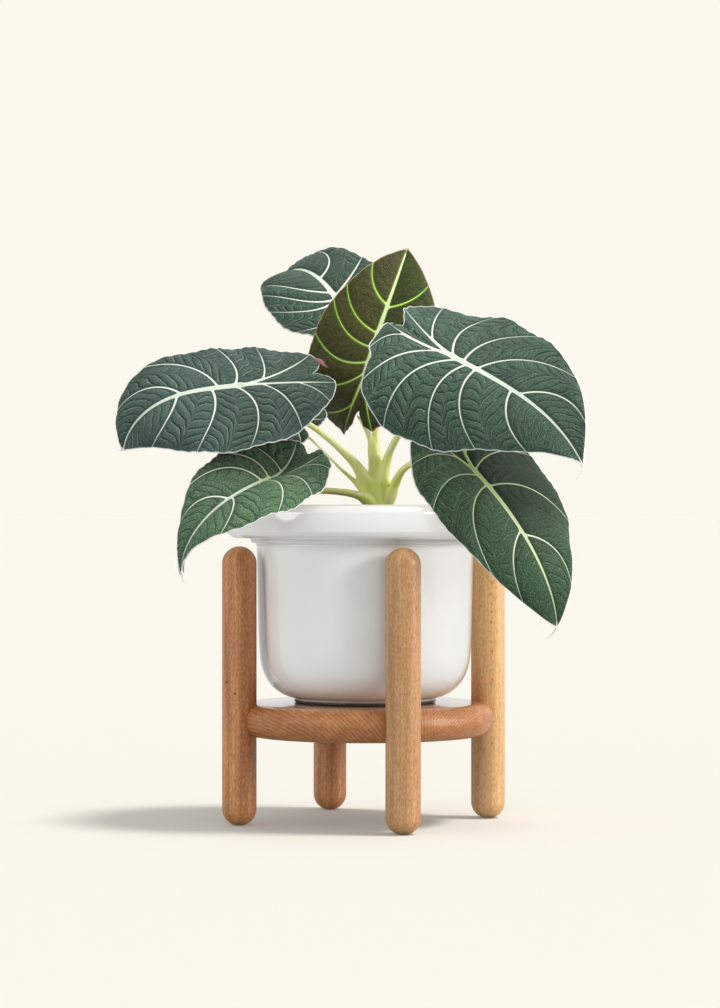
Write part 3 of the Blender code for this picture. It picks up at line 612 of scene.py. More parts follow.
def arch_pace(leaf, along, place, gap, lean, number, side):
    """Millimetres from one arched vein to the next, measured squarely across them."""
    step = 0.01
    here = arches(leaf, along, place, gap, lean, number, side)
    ahead = arches(leaf, along + 1.0, place, gap, lean, number, side) - here
    nearer = np.where(place < SEAM_AT, -step, step)
    across = arches(leaf, along, place + nearer, gap, lean, number, side) - here
    across = across / (nearer * np.maximum(gap, 4.0)) - ahead * lean / np.maximum(gap, 4.0)
    return 1.0 / np.maximum(np.hypot(ahead, across), 0.05)


def fine_blade(name, leaf, material):
    """A blade with pillows between its veins, arched secondary veins and ribs below."""
    flat, carried, faces = fine_sheet(leaf)
    along, place, share, end, gap, lean, number, side = carried.T
    turn = np.radians(end)
    ripple = leaf["wave"] * share ** 3 * np.sin(9.0 * turn + 2.0 * side)
    ripple += 0.4 * share ** 7 * np.sin(43.0 * turn + 1.0)
    sheet = bent_blade(leaf, flat[:, 0], flat[:, 1], ripple)
    normal = corner_normals(sheet, faces)
    away = vein_distance(leaf, flat)
    phase = arches(leaf, along, place, gap, lean, number, side)
    middle = np.where(number == 0, 20.0, (place - SEAM_AT) * gap)
    inner = 1.0 - soft_step(share, 0.86, 1.0)
    net = soft_step(away, 0.4, 3.0) * (0.25 + 0.75 * inner) * soft_step(gap, 3.0, 9.0)
    patch = np.sin(0.13 * flat[:, 0] + 0.7) * np.cos(0.11 * flat[:, 1] + 0.05 * flat[:, 0])
    net *= leaf["quilt"] * (0.88 + 0.25 * patch)
    pillow = PILLOW * (1.0 - np.exp(-np.maximum(away, 0.0) / 3.2)) * (0.2 + 0.8 * inner)
    pace = arch_pace(leaf, along, place, gap, lean, number, side)
    beside = np.abs(phase - np.round(phase)) * pace
    bulge = 1.0 - np.exp(-(beside / 1.5) ** 1.4)
    seam = np.exp(-(middle / 1.1) ** 2) * soft_step(share, 0.25, 0.45) * inner
    net *= 1.0 - 0.9 * np.exp(-(middle / 0.9) ** 2)
    crisp = net * (1.0 - 0.6 * np.exp(-(middle / 2.4) ** 2))
    swell = pillow + ARCH_RELIEF * crisp * (bulge - 0.7) - 0.4 * seam * net
    swell += 0.3 * np.sqrt(np.clip(-away, 0.0, 1.0))
    rib = np.exp(-np.clip(away + 0.6, 0.0, 9.0) ** 2 / 1.1)
    taper = np.clip(1.0 - share, 0.12, 1.0)
    below = BLADE_THICK * 0.85 + rib * (MIDRIB * 0.75 * taper + 0.15) - 0.55 * swell * (1.0 - rib)
    thin = 1.0 - 0.45 * soft_step(share, 0.96, 1.0)
    count = len(sheet)
    points = np.vstack([sheet + normal * swell[:, None], sheet - normal * (below * thin)[:, None]])
    all_faces = faces + [[c + count for c in face[::-1]] for face in faces]
    edges = {pair for face in faces for pair in zip(face, face[1:] + face[:1])}
    all_faces += [[b, a, a + count, b + count] for a, b in edges if (b, a) not in edges]
    rim = (1.0 - share) * np.maximum(along / np.maximum(share, 0.05), 1.0)
    near = np.hypot(flat[:, 0], flat[:, 1]) / leaf["length"]
    spine = np.exp(-(flat[:, 1] / 2.4) ** 2) * (flat[:, 0] > -2.0)
    values = {"away": away, "phase": phase, "net": net, "rim": rim, "near": near, "pace": pace,
              "spine": spine, "share": share, "half": side,
              "middle": middle + 12.0 * (1.0 - soft_step(share, 0.25, 0.45))}
    values = {label: np.concatenate([v, v]) for label, v in values.items()}
    values["under"] = np.concatenate([np.zeros(count), np.ones(count)])
    plain = {"away": 3.0, "phase": 0.5, "net": 0.0, "near": 1.0, "pace": 9.0, "share": 1.0, "half": 0.0,
             "middle": 9.0, "spine": 0.0}
    extras = [(blade_tail(leaf), dict(plain, rim=0.0, under=0.0))]
    if "scrap" in leaf:
        extras.append((curled_scrap(leaf["scrap"]), dict(plain, rim=9.0, under=1.0)))
    for (more, more_faces), carries in extras:
        all_faces += [[c + len(points) for c in face] for face in more_faces]
        points = np.vstack([points, more])
        for label, given in values.items():
            values[label] = np.concatenate([given, np.full(len(more), carries[label])])
    return new_object(name + "_blade", points, all_faces, material, values)


def curled_scrap(knots):
    """A bit of the lobe's margin that curls over and hangs down, thin, its underside to the front."""
    route = smooth_route(np.array(knots), [5] * (len(knots) - 1))
    points, faces = tube_mesh(route[:, :3], route[:, 3], 14)
    centre, wide = np.repeat(route[:, :3], 14, axis=0), np.repeat(route[:, 3], 14)
    front = np.array((0.15, -0.91, 0.38))
    off = np.array(points) - centre
    deep = off @ front
    bowed = 0.5 * (1.0 - (np.linalg.norm(off - np.outer(deep, front), axis=1) / wide) ** 2)
    return centre + off + np.outer(bowed - deep * (1.0 - 0.3 / wide), front), faces


def blade_tail(leaf):
    """The drip tip: the midrib runs on past the blade as a thin tail that bends to its aim."""
    size, aim = leaf["tail"]
    aim = np.array(aim) / np.linalg.norm(aim)
    s = np.array([0.955, 0.98, 0.995]) * leaf["length"]
    line = bent_blade(leaf, s, 0 * s + 0.001, 0 * s)
    forward = (line[2] - line[0]) / np.linalg.norm(line[2] - line[0])
    route, radii = [line[0], line[1]], [0.35, 0.62]
    steps = 12
    for k in range(1, steps + 1):
        share = k / steps
        going = forward * (1.0 - share) + aim * share
        route.append(route[-1] + going / np.linalg.norm(going) * size / steps)
        radii.append(0.6 * (1.0 - share) ** 0.7 + 0.17)
    return tube_mesh(np.array(route), radii, 8)


# Materials of the plant

def blade_marks():
    """Masks of a blade, read from what its points carry: veins and the painted shade of the dip beside
    them, arched lines and the painted shade of their grooves, the seam between two veins' arches,
    pillow tops (for the bump and a painted highlight), rim and underside."""
    group, given, put_out = new_group(
        "blade marks", [("Line Width", "Float", 0.5)],
        [("Vein", "Float"), ("Vein Dip Shade", "Float"), ("Glow", "Float"), ("Line", "Float"), ("Groove Shade", "Float"),
         ("Top", "Float"), ("Rim", "Float"), ("Under", "Float"), ("Near", "Float"), ("Share", "Float"),
         ("Spine", "Float"), ("Half", "Float"), ("Speckle", "Float"), ("Mesh", "Float"), ("Height", "Float")])
    tree = group
    place = object_place(tree)
    fine = noise_value(tree, place, 900.0, 2.0)
    speckle = noise_value(tree, place, 950.0, 3.0, 0.7)
    wobble = math_node(tree, "MULTIPLY_ADD", fine, 0.24, -0.12)
    away = math_node(tree, "ADD", attribute(tree, "away"), wobble)
    jitter = math_node(tree, "MULTIPLY_ADD", noise_value(tree, place, 150.0, 4.0), 0.42, -0.21)
    phase = math_node(tree, "ADD", attribute(tree, "phase"), jitter)
    off = math_node(tree, "SUBTRACT", math_node(tree, "FRACT", math_node(tree, "ADD", phase, 0.5)), 0.5)
    off = math_node(tree, "MULTIPLY", off, attribute(tree, "pace"))
    net = attribute(tree, "net")
    under = ramp(tree, attribute(tree, "under"), 0.35, 0.65)
    patch = ramp(tree, noise_value(tree, place, 75.0, 2.0), 0.34, 0.6, 0.25, 1.0)
    lip = math_node(tree, "ABSOLUTE", math_node(tree, "SUBTRACT", off, 0.25))
    line = math_node(tree, "MULTIPLY", ramp(tree, lip, 0.08, given.outputs["Line Width"], 1.0, 0.0), net)
    drift = math_node(tree, "MULTIPLY_ADD", noise_value(tree, place, 110.0, 3.0), 5.0, -2.5)
    aside = math_node(tree, "ABSOLUTE", math_node(tree, "ADD", attribute(tree, "middle"), drift))
    seam = ramp(tree, aside, 0.12, 0.55, 0.5, 0.0)
    line = math_node(tree, "MAXIMUM", line, seam)
    behind = math_node(tree, "ABSOLUTE", math_node(tree, "ADD", off, 0.55))
    # painted shade: darker in the grooves beside the arched veins
    groove_shade = math_node(tree, "MULTIPLY", ramp(tree, behind, 0.1, 1.05, 1.0, 0.0), net)
    crease = math_node(tree, "SINE", math_node(tree, "MULTIPLY", math_node(tree, "ADD", phase, jitter), 27.0))
    crease = math_node(tree, "MULTIPLY", crease, math_node(tree, "MULTIPLY", net, 0.16))
    stir = put(tree, "ShaderNodeTexNoise", {"Vector": place, "Scale": 260.0}).outputs["Color"]
    stir = put(tree, "ShaderNodeVectorMath", {0: stir, 1: (0.0016, 0.0016, 0.0016)}, operation="MULTIPLY")
    stirred = put(tree, "ShaderNodeVectorMath", {0: stir.outputs[0], 1: place}, operation="ADD").outputs[0]
    cells = put(tree, "ShaderNodeTexVoronoi", {"Vector": stirred, "Scale": 440.0},
                feature="DISTANCE_TO_EDGE")
    mesh = math_node(tree, "MULTIPLY", ramp(tree, cells.outputs["Distance"], 0.02, 0.16, 1.0, 0.0),
                     ramp(tree, net, 0.0, 0.5))
    rim = math_node(tree, "ADD", attribute(tree, "rim"), wobble)
    reach = math_node(tree, "MULTIPLY_ADD", under, 1.0, 0.75)
    # The pillow tops shape the bump and are also painted as a highlight in the colour.
    round_top = math_node(tree, "MULTIPLY", ramp(tree, math_node(tree, "ABSOLUTE", off), 0.0, 2.2), net)
    height = math_node(tree, "MULTIPLY_ADD", fine, 0.35, crease)
    height = math_node(tree, "MULTIPLY_ADD", speckle, 0.4, height)
    height = math_node(tree, "MULTIPLY_ADD", round_top, 0.75, height)
    height = math_node(tree, "MULTIPLY_ADD", mesh, -0.3, height)
    # The mask that darkens the blade beside the veins is painted shade of the dip there.
    made = {"Vein": ramp(tree, away, -0.14, 0.16, 1.0, 0.0), "Vein Dip Shade": ramp(tree, away, 0.0, 3.6, 1.0, 0.0),
            "Glow": ramp(tree, away, 0.1, 1.3, 1.0, 0.0), "Line": math_node(tree, "MULTIPLY", line, patch),
            "Groove Shade": groove_shade, "Top": round_top,
            "Rim": ramp(tree, math_node(tree, "DIVIDE", rim, reach), 0.5, 1.0, 1.0, 0.0), "Under": under,
            "Near": attribute(tree, "near"), "Share": attribute(tree, "share"),
            "Spine": attribute(tree, "spine"), "Half": attribute(tree, "half"), "Speckle": speckle,
            "Mesh": mesh, "Height": height}
    for label, value in made.items():
        tree.links.new(value, put_out.inputs[label])
    return group


def blade_material(name, marks, deep, mid, bloom_and_painted_highlight, tint, vein_far, vein_near, vein_end, vein_mid, line, rim,
                   under, under_vein, lime_reach=0.25, line_strength=0.7, tinted=0.5, glow=None, shade=None,
                   roughness=0.55, sheen=0.1, grit=0.075):
    """A velvety blade: a clouded dark ground with painted shade in every dip and in the grooves of the
    arches, a painted grey highlight on every pillow top, pale veins and a plain underside. The glow is
    a (colour, strength) right beside the veins, the shade a (colour it multiplies by, reach from the
    stalk on the first side, and on the second): painted shadow of the blades above, and on the young
    blade one half painted yellower and darker."""
    made, tree, shader = new_material(
        name, Sheen_Weight=sheen, Sheen_Roughness=0.5, Sheen_Tint=(0.72, 0.85, 0.80, 1.0),
        Specular_IOR_Level=0.25)
    mark = use_group(tree, marks, {"Line Width": 0.5})
    place = object_place(tree)
    cloud = noise_value(tree, place, 42.0, 4.0, 0.62)
    ground = blend(tree, ramp(tree, cloud, 0.34, 0.66), deep, mid)
    wide = noise_value(tree, place, 13.0, 2.0)
    ground = blend(tree, ramp(tree, wide, 0.4, 0.66, 0.0, tinted), ground, tint)
    ground = blend(tree, ramp(tree, mark["Speckle"], 0.525 - grit, 0.525 + grit, 0.0, 0.8), ground, bloom_and_painted_highlight)
    # painted highlight: the pillow tops greyer and lighter
    ground = blend(tree, math_node(tree, "MULTIPLY", mark["Top"], 0.3), ground, bloom_and_painted_highlight)
    darkest = tuple(c * 0.55 for c in deep[:3]) + (1.0,)
    # painted shade: darker in the dip beside every vein
    ground = blend(tree, math_node(tree, "MULTIPLY", mark["Vein Dip Shade"], 0.42), ground, deep)
    # painted shade in the grooves of the arches
    ground = blend(tree, math_node(tree, "MULTIPLY", mark["Groove Shade"], 0.62), ground, darkest)
    ground = blend(tree, math_node(tree, "MULTIPLY", mark["Mesh"], 0.28), ground, darkest)
    ground = blend(tree, math_node(tree, "MULTIPLY", mark["Line"], line_strength), ground, line)
    if glow:
        ground = blend(tree, math_node(tree, "MULTIPLY", mark["Glow"], glow[1]), ground, glow[0])
    # Painted shade: near the stalk the lower blades are darkened as if shadowed by the blades above; the
    # young blade's second half is painted yellower and darker.
    if shade:
        reach = math_node(tree, "MULTIPLY_ADD", mark["Half"], shade[2] - shade[1], shade[1])
        reached = ramp(tree, mark["Near"], math_node(tree, "SUBTRACT", reach, 0.4), reach, 1.0, 0.0)
        ground = blend(tree, reached, ground, shade[0], "MULTIPLY")
    silver = blend(tree, mark["Spine"], vein_far, vein_mid)
    silver = blend(tree, ramp(tree, mark["Near"], 0.0, lime_reach, 1.0, 0.0), silver, vein_near)
    silver = blend(tree, ramp(tree, mark["Share"], 0.72, 1.0, 0.0, 0.8), silver, vein_end)
    face = blend(tree, mark["Vein"], ground, silver)
    duller = tuple(c * 0.72 for c in under[:3]) + (1.0,)
    back_ground = blend(tree, ramp(tree, cloud, 0.35, 0.65), under, duller)
    back = blend(tree, math_node(tree, "MULTIPLY", mark["Line"], 0.4), back_ground, under_vein)
    back = blend(tree, mark["Vein"], back, under_vein)
    whole = blend(tree, mark["Under"], face, back)
    whole = blend(tree, math_node(tree, "MULTIPLY", mark["Rim"], 0.9), whole, rim)
    tree.links.new(whole, shader.inputs["Base Color"])
    rough = math_node(tree, "MULTIPLY_ADD", mark["Speckle"], 0.12, roughness - 0.06)
    rough = math_node(tree, "MULTIPLY_ADD", mark["Vein"], -0.12, rough)
    tree.links.new(rough, shader.inputs["Roughness"])
    bump = put(tree, "ShaderNodeBump", {"Strength": 0.75, "Distance": 0.0009, "Height": mark["Height"]})
    tree.links.new(bump.outputs[0], shader.inputs["Normal"])
    return made


def stalk_material():
    """Pale green stalks: fine lengthwise streaks, darker at the crown, brown scars and hood tip."""
    made, tree, shader = new_material("leaf stalk", Specular_IOR_Level=0.45, Subsurface_Weight=0.6,
                                      Subsurface_Radius=(0.9, 1.0, 0.45), Subsurface_Scale=0.009)
    place = object_place(tree, STAND)
    high = put(tree, "ShaderNodeSeparateXYZ", {0: place}).outputs["Z"]
    streak = noise_value(tree, object_place(tree, STAND, scale=(1.0, 1.0, 0.09)), 900.0, 3.0)
    cloud = noise_value(tree, place, 90.0, 3.0)
    pale = blend(tree, ramp(tree, cloud, 0.35, 0.65), rgb(248, 252, 204), rgb(237, 247, 166))
    crown = blend(tree, ramp(tree, cloud, 0.35, 0.65), rgb(238, 252, 138), rgb(248, 253, 176))
    color = blend(tree, ramp(tree, high, 0.244, 0.282), crown, pale)
    color = blend(tree, ramp(tree, streak, 0.42, 0.7, 0.0, 0.2), color, rgb(178, 198, 96))
    for where, size, tint, strength in (
            ((-6.0, 6.0, 297.5), 5.0, rgb(150, 108, 44), 0.9),
            ((13.0, -4.0, 267.0), 1.6, rgb(120, 96, 40), 0.9),
            ((0.5, -6.5, 261.5), 1.5, rgb(128, 56, 34), 0.95),
            ((-3.0, -15.5, 246.0), 1.0, rgb(92, 84, 40), 0.8),
            ((-7.0, -17.0, 241.0), 1.1, rgb(92, 84, 40), 0.8),
            ((17.5, -9.0, 246.0), 1.2, rgb(92, 84, 40), 0.7),
            ((26.0, -12.0, 246.5), 1.0, rgb(92, 84, 40), 0.7)):
        spot = put(tree, "ShaderNodeVectorMath", {0: place, 1: tuple(c * MM for c in where)},
                   operation="DISTANCE").outputs["Value"]
        color = blend(tree, ramp(tree, spot, 0.35 * size * MM, size * MM, strength, 0.0), color, tint)
    tree.links.new(color, shader.inputs["Base Color"])
    tree.links.new(math_node(tree, "MULTIPLY_ADD", streak, 0.2, 0.34), shader.inputs["Roughness"])
    bump = put(tree, "ShaderNodeBump", {"Strength": 0.4, "Distance": 0.0004, "Height": streak})
    tree.links.new(bump.outputs[0], shader.inputs["Normal"])
    return made


def soil_material(name, dark, light, roughness=0.95):
    made, tree, shader = new_material(name, Specular_IOR_Level=0.2)
    place = object_place(tree)
    grain = noise_value(tree, place, 260.0, 6.0, 0.7)
    crumb = put(tree, "ShaderNodeTexVoronoi", {"Vector": place, "Scale": 420.0}).outputs["Distance"]
    color = blend(tree, ramp(tree, grain, 0.35, 0.7), dark, light)
    darkest = tuple(c * 0.4 for c in dark[:3]) + (1.0,)
    # painted shade: darker in the gaps between the crumbs, where the bump is lowest
    color = blend(tree, ramp(tree, crumb, 0.3, 0.75, 0.0, 0.6), color, darkest)
    tree.links.new(color, shader.inputs["Base Color"])
    tree.links.new(math_node(tree, "MULTIPLY_ADD", grain, 0.1, roughness - 0.08), shader.inputs["Roughness"])
    height = math_node(tree, "ADD", grain, math_node(tree, "MULTIPLY", crumb, -0.6))
    bump = put(tree, "ShaderNodeBump", {"Strength": 0.8, "Distance": 0.0012, "Height": height})
    tree.links.new(bump.outputs[0], shader.inputs["Normal"])
    return made


# Materials of pot and stand

def glaze_material():
    """White glaze: a clear gloss over faint waves, and a dark bare ring where the foot stands: partly
    the clay's own colour, partly painted contact shadow.
    """
    made, tree, shader = new_material("white glaze", Coat_Weight=0.6, Coat_Roughness=0.03,
                                      Specular_IOR_Level=0.5)
    place = object_place(tree, STAND)
    cloud = noise_value(tree, place, 14.0, 3.0)
    color = blend(tree, ramp(tree, cloud, 0.35, 0.65), rgb(230, 230, 226), rgb(235, 235, 231))
    speck = put(tree, "ShaderNodeTexVoronoi", {"Vector": place, "Scale": 90.0, "Randomness": 1.0}
                ).outputs["Distance"]
    color = blend(tree, ramp(tree, speck, 0.018, 0.035, 0.3, 0.0), color, rgb(196, 192, 184))
    high = put(tree, "ShaderNodeSeparateXYZ", {0: place}).outputs["Z"]
    # the foot ring: dark bare clay, darkened further as painted contact shadow under the pot
    foot = ramp(tree, high, (POT_BASE + 1.6) * MM, (POT_BASE + 3.0) * MM, 1.0, 0.0)
    color = blend(tree, foot, color, rgb(58, 50, 43))
    tree.links.new(color, shader.inputs["Base Color"])
    dimple = noise_value(tree, place, 55.0, 2.0)
    gloss = math_node(tree, "MULTIPLY_ADD", dimple, 0.08, 0.1)
    tree.links.new(math_node(tree, "MULTIPLY_ADD", foot, 0.6, gloss), shader.inputs["Roughness"])
    bump = put(tree, "ShaderNodeBump", {"Strength": 0.1, "Distance": 0.0008, "Height": dimple})
    tree.links.new(bump.outputs[0], shader.inputs["Normal"])
    return made


def grain_group():
    """Beech: soft streaks, dense short dashes (the rays) and pores along the grain. Vector is in
    metres with Z along the grain."""
    group, given, put_out = new_group(
        "beech grain", [("Vector", "Vector", None)],
        [("Streak", "Float"), ("Dash", "Float"), ("Pore", "Float"), ("Tone", "Float"), ("Gleam", "Float")])
    tree = group

    def stretched(along):
        return put(tree, "ShaderNodeMapping", {"Vector": given.outputs["Vector"], "Scale": (1.0, 1.0, along)}
                   ).outputs[0]

    def dashes(scale, along, low, high, chance):
        cell = put(tree, "ShaderNodeTexVoronoi", {"Vector": stretched(along), "Scale": scale})
        pick = put(tree, "ShaderNodeSeparateColor", {0: cell.outputs["Color"]}).outputs[0]
        return math_node(tree, "MULTIPLY", ramp(tree, cell.outputs["Distance"], low, high, 1.0, 0.0),
                         ramp(tree, pick, chance, chance + 0.25))

    fleck = noise_value(tree, stretched(0.36), 1050.0, 2.0, 0.6)
    dots = math_node(tree, "MULTIPLY", dashes(820.0, 0.45, 0.08, 0.4, 0.3), 0.4)
    made = {"Streak": ramp(tree, noise_value(tree, stretched(0.035), 320.0, 4.0, 0.6), 0.38, 0.64),
            "Dash": math_node(tree, "MAXIMUM", ramp(tree, fleck, 0.48, 0.66), dots),
            "Gleam": ramp(tree, fleck, 0.5, 0.36),
            "Pore": ramp(tree, noise_value(tree, stretched(0.12), 2300.0, 1.0), 0.52, 0.68),
            "Tone": ramp(tree, noise_value(tree, stretched(0.06), 110.0, 3.0), 0.34, 0.66)}
    for label, value in made.items():
        tree.links.new(value, put_out.inputs[label])
    return group


def beech_color(tree, out, light, dark, ray):
    color = blend(tree, out["Tone"], light, dark)
    deeper = tuple(c * 0.72 for c in dark[:3]) + (1.0,)
    color = blend(tree, math_node(tree, "MULTIPLY", out["Streak"], 0.5), color, deeper)
    color = blend(tree, math_node(tree, "MULTIPLY", out["Pore"], 0.4), color, deeper)
    paler = tuple(c * 1.35 for c in light[:3]) + (1.0,)
    color = blend(tree, math_node(tree, "MULTIPLY", out["Gleam"], 0.22), color, paler)
    return blend(tree, math_node(tree, "MULTIPLY", out["Dash"], 0.36), color, ray)


def beech_finish(made, tree, shader, out, color):
    """Oiled wood: the colour, a satin gloss that is duller in the pores, and a fine grain."""
    tree.links.new(color, shader.inputs["Base Color"])
    rough = math_node(tree, "MULTIPLY_ADD", out["Pore"], 0.14, 0.36)
    tree.links.new(rough, shader.inputs["Roughness"])
    height = math_node(tree, "ADD", out["Pore"], out["Dash"])
    bump = put(tree, "ShaderNodeBump", {"Strength": 0.22, "Distance": 0.0003, "Height": height}, invert=True)
    tree.links.new(bump.outputs[0], shader.inputs["Normal"])
    return made


def dowel_material(name, grain, leg, light, dark, column=None, knots=()):
    """Beech of one leg. The column is the turn about the leg, from -Y, at which a row of red-brown
    flecks stands; knots are (turn, height, size)."""
    made, tree, shader = new_material(name, Specular_IOR_Level=0.5)
    place = object_place(tree, leg_place(leg, 0.0))
    out = use_group(tree, grain, {"Vector": place})
    color = beech_color(tree, out, light, dark, tuple(c * 0.52 for c in dark[:3]) + (1.0,))
    parts = put(tree, "ShaderNodeSeparateXYZ", {0: place}).outputs
    turn = math_node(tree, "ARCTAN2", parts["X"], math_node(tree, "MULTIPLY", parts["Y"], -1.0))
    high = parts["Z"]
    if column is not None:
        bend = noise_value(tree, place, 160.0, 2.0)
        at = math_node(tree, "MULTIPLY_ADD", bend, 0.16, math.radians(column) - 0.08)
        aside = math_node(tree, "ABSOLUTE", math_node(tree, "SUBTRACT", turn, at))
        aside = math_node(tree, "MULTIPLY", aside, LEG_RADIUS)
        tall = object_place(tree, leg_place(leg, 0.0), scale=(1.0, 1.0, 0.7))
        flecks = put(tree, "ShaderNodeTexVoronoi", {"Vector": tall, "Scale": 330.0})
        pick = put(tree, "ShaderNodeSeparateColor", {0: flecks.outputs["Color"]}).outputs[0]
        mark = math_node(tree, "MULTIPLY", ramp(tree, aside, 0.5, 2.2, 1.0, 0.0),
                         ramp(tree, flecks.outputs["Distance"], 0.2, 0.42, 1.0, 0.0))
        mark = math_node(tree, "MULTIPLY", mark, ramp(tree, pick, 0.35, 0.5))
        color = blend(tree, math_node(tree, "MULTIPLY", mark, 0.7), color, rgb(158, 78, 40))
    for knot_turn, knot_high, size in knots:
        across = math_node(tree, "MULTIPLY", math_node(tree, "SUBTRACT", turn, math.radians(knot_turn)),
                           LEG_RADIUS * MM / (1.9 * size * MM))
        up = math_node(tree, "DIVIDE", math_node(tree, "SUBTRACT", high, knot_high * MM), size * MM)
        away = math_node(tree, "SQRT", math_node(tree, "ADD", math_node(tree, "POWER", across, 2.0),
                                                 math_node(tree, "POWER", up, 2.0)))
        color = blend(tree, ramp(tree, away, 0.4, 1.0, 0.85, 0.0), color, rgb(74, 42, 24))
    return beech_finish(made, tree, shader, out, color)


def board_material(grain):
    """Three glued staves along Y, each with its own growth rings; the top is polished."""
    made, tree, shader = new_material("beech board", Specular_IOR_Level=0.4, Coat_Roughness=0.07)
    place = object_place(tree, STAND)
    along_y = object_place(tree, STAND, (math.radians(90), 0.0, 0.0))
    out = use_group(tree, grain, {"Vector": along_y})
    parts = put(tree, "ShaderNodeSeparateXYZ", {0: place}).outputs
    lacquer = ramp(tree, parts["Z"], (SHELF_TOP - 2.5) * MM, (SHELF_TOP - 0.2) * MM, 0.05, 1.0)
    tree.links.new(lacquer, shader.inputs["Coat Weight"])
    seams = (22.0, 48.0)
    second, third = (math_node(tree, "GREATER_THAN", parts["X"], x * MM) for x in seams)
    pith = [(-95.0, -10.0, 2.7), (-200.0, 75.0, 2.4), (140.0, 0.0, 1.8)]

    def by_stave(values):
        first = math_node(tree, "MULTIPLY_ADD", second, values[1] - values[0], values[0])
        return math_node(tree, "MULTIPLY_ADD", third, values[2] - values[1], first)

    spread = [math_node(tree, "POWER", math_node(tree, "SUBTRACT", parts[part],
                                                 by_stave([p[axis] * MM for p in pith])), 2.0)
              for part, axis in (("X", 0), ("Z", 1))]
    radius = math_node(tree, "SQRT", math_node(tree, "ADD", *spread))
    waver = noise_value(tree, along_y, 30.0, 3.0)
    rings = math_node(tree, "MULTIPLY_ADD", waver, 1.6,
                      math_node(tree, "DIVIDE", radius, by_stave([p[2] * MM for p in pith])))
    ring = math_node(tree, "FRACT", rings)
    late = math_node(tree, "MULTIPLY", ramp(tree, ring, 0.2, 0.7), ramp(tree, ring, 0.72, 0.82, 1.0, 0.0))
    early = math_node(tree, "ABSOLUTE", math_node(tree, "SUBTRACT", ring, 0.88))
    early = ramp(tree, early, 0.03, 0.13, 1.0, 0.0)
    patchy = ramp(tree, noise_value(tree, place, 90.0, 2.0), 0.35, 0.6, 0.3, 1.0)
    color = beech_color(tree, out, rgb(194, 130, 74), rgb(168, 104, 55), rgb(118, 68, 32))
    color = blend(tree, math_node(tree, "MULTIPLY", late, 0.4), color, rgb(136, 82, 46))
    color = blend(tree, math_node(tree, "MULTIPLY", math_node(tree, "MULTIPLY", early, patchy), 0.4), color,
                  rgb(226, 178, 134))
    for x in seams:
        near = math_node(tree, "ABSOLUTE", math_node(tree, "SUBTRACT", parts["X"], x * MM))
        color = blend(tree, ramp(tree, near, 0.0001, 0.0005, 0.5, 0.0), color, rgb(112, 70, 42))
    return beech_finish(made, tree, shader, out, color)


# Crown and soil

def stalk_route(name):
    """The stalk's route and radii from the crown to the blade, which it runs into."""
    knots = [p[:3] for p in STALKS[name]]
    radii = [p[3] for p in STALKS[name]]
    leaf = LEAVES[name]
    up = blade_axes(leaf)[2]
    seat = np.array(leaf["at"], float) - up * (BLADE_THICK + MIDRIB + GAP)
    toward = seat - np.array(knots[-1])
    bend = up + toward / np.linalg.norm(toward)
    knots += [seat - bend / np.linalg.norm(bend) * SEAT_LENGTH, seat, seat + up * 1.9]
    radii += [radii[-1], radii[-1] * 1.05, radii[-1] * 0.95]
    lengths = np.linalg.norm(np.diff(np.array(knots, float), axis=0), axis=1)
    route = smooth_route(np.column_stack([knots, radii]), [max(2, round(d / 2.0)) for d in lengths])
    return route[:, :3], route[:, 3]


def crown(material):
    """The stem, all stalks and the sheath, grown into one skin by remeshing."""
    points, faces = [], []
    routes = [stalk_route(name) for name in STALKS]
    for knots in SHEATH.values():
        line = smooth_route(np.array(knots, float), [6] * (len(knots) - 1))
        routes.append((line[:, :3], line[:, 3]))
    stem = np.array([(CROWN_X, CROWN_Y, z) for z in np.linspace(SOIL_TOP - 19.0, RIM_Z + 22.0, 16)])
    waist = np.interp(stem[:, 2], [0.0, RIM_Z, RIM_Z + 14.0, RIM_Z + 22.0], [9.7, 10.2, 8.2, 4.5])
    routes.append((stem, waist))
    for route, radii in routes:
        more, rings = tube_mesh(route, radii, 20)
        faces += [[c + len(points) for c in face] for face in rings]
        points += more
    made = new_object("crown_skin", points, faces, material)
    for modifier, settings in (("REMESH", dict(mode="VOXEL", voxel_size=0.62 * MM, adaptivity=0.0)),
                               ("SMOOTH", dict(factor=0.5, iterations=9))):
        added = made.modifiers.new(modifier.lower(), modifier)
        for key, value in settings.items():
            setattr(added, key, value)
    apply_modifiers(made)
    made.data.shade_smooth()
    return made


def apply_modifiers(thing):
    """Applies all modifiers of a piece, as by hand."""
    bpy.ops.object.select_all(action="DESELECT")
    bpy.context.view_layer.objects.active = thing
    thing.select_set(True)
    for modifier in list(thing.modifiers):
        bpy.ops.object.modifier_apply(modifier=modifier.name)
    thing.select_set(False)


def soil_height(x, y):
    """Lumps of the soil's surface, higher round the crown, with crumbs on them."""
    lumps = math.sin(0.21 * x + 1.3) * math.cos(0.17 * y - 0.6) + 0.6 * math.sin(0.33 * y + 0.12 * x)
    mound = 3.0 * math.exp(-((x - CROWN_X) ** 2 + (y - CROWN_Y) ** 2) / 700.0)
    rough = 1.3 * noise.fractal(Vector((x, y, 3.0)) * 0.16, 1.0, 2.0, 4)
    return SOIL_TOP + LUMP * lumps + mound + rough


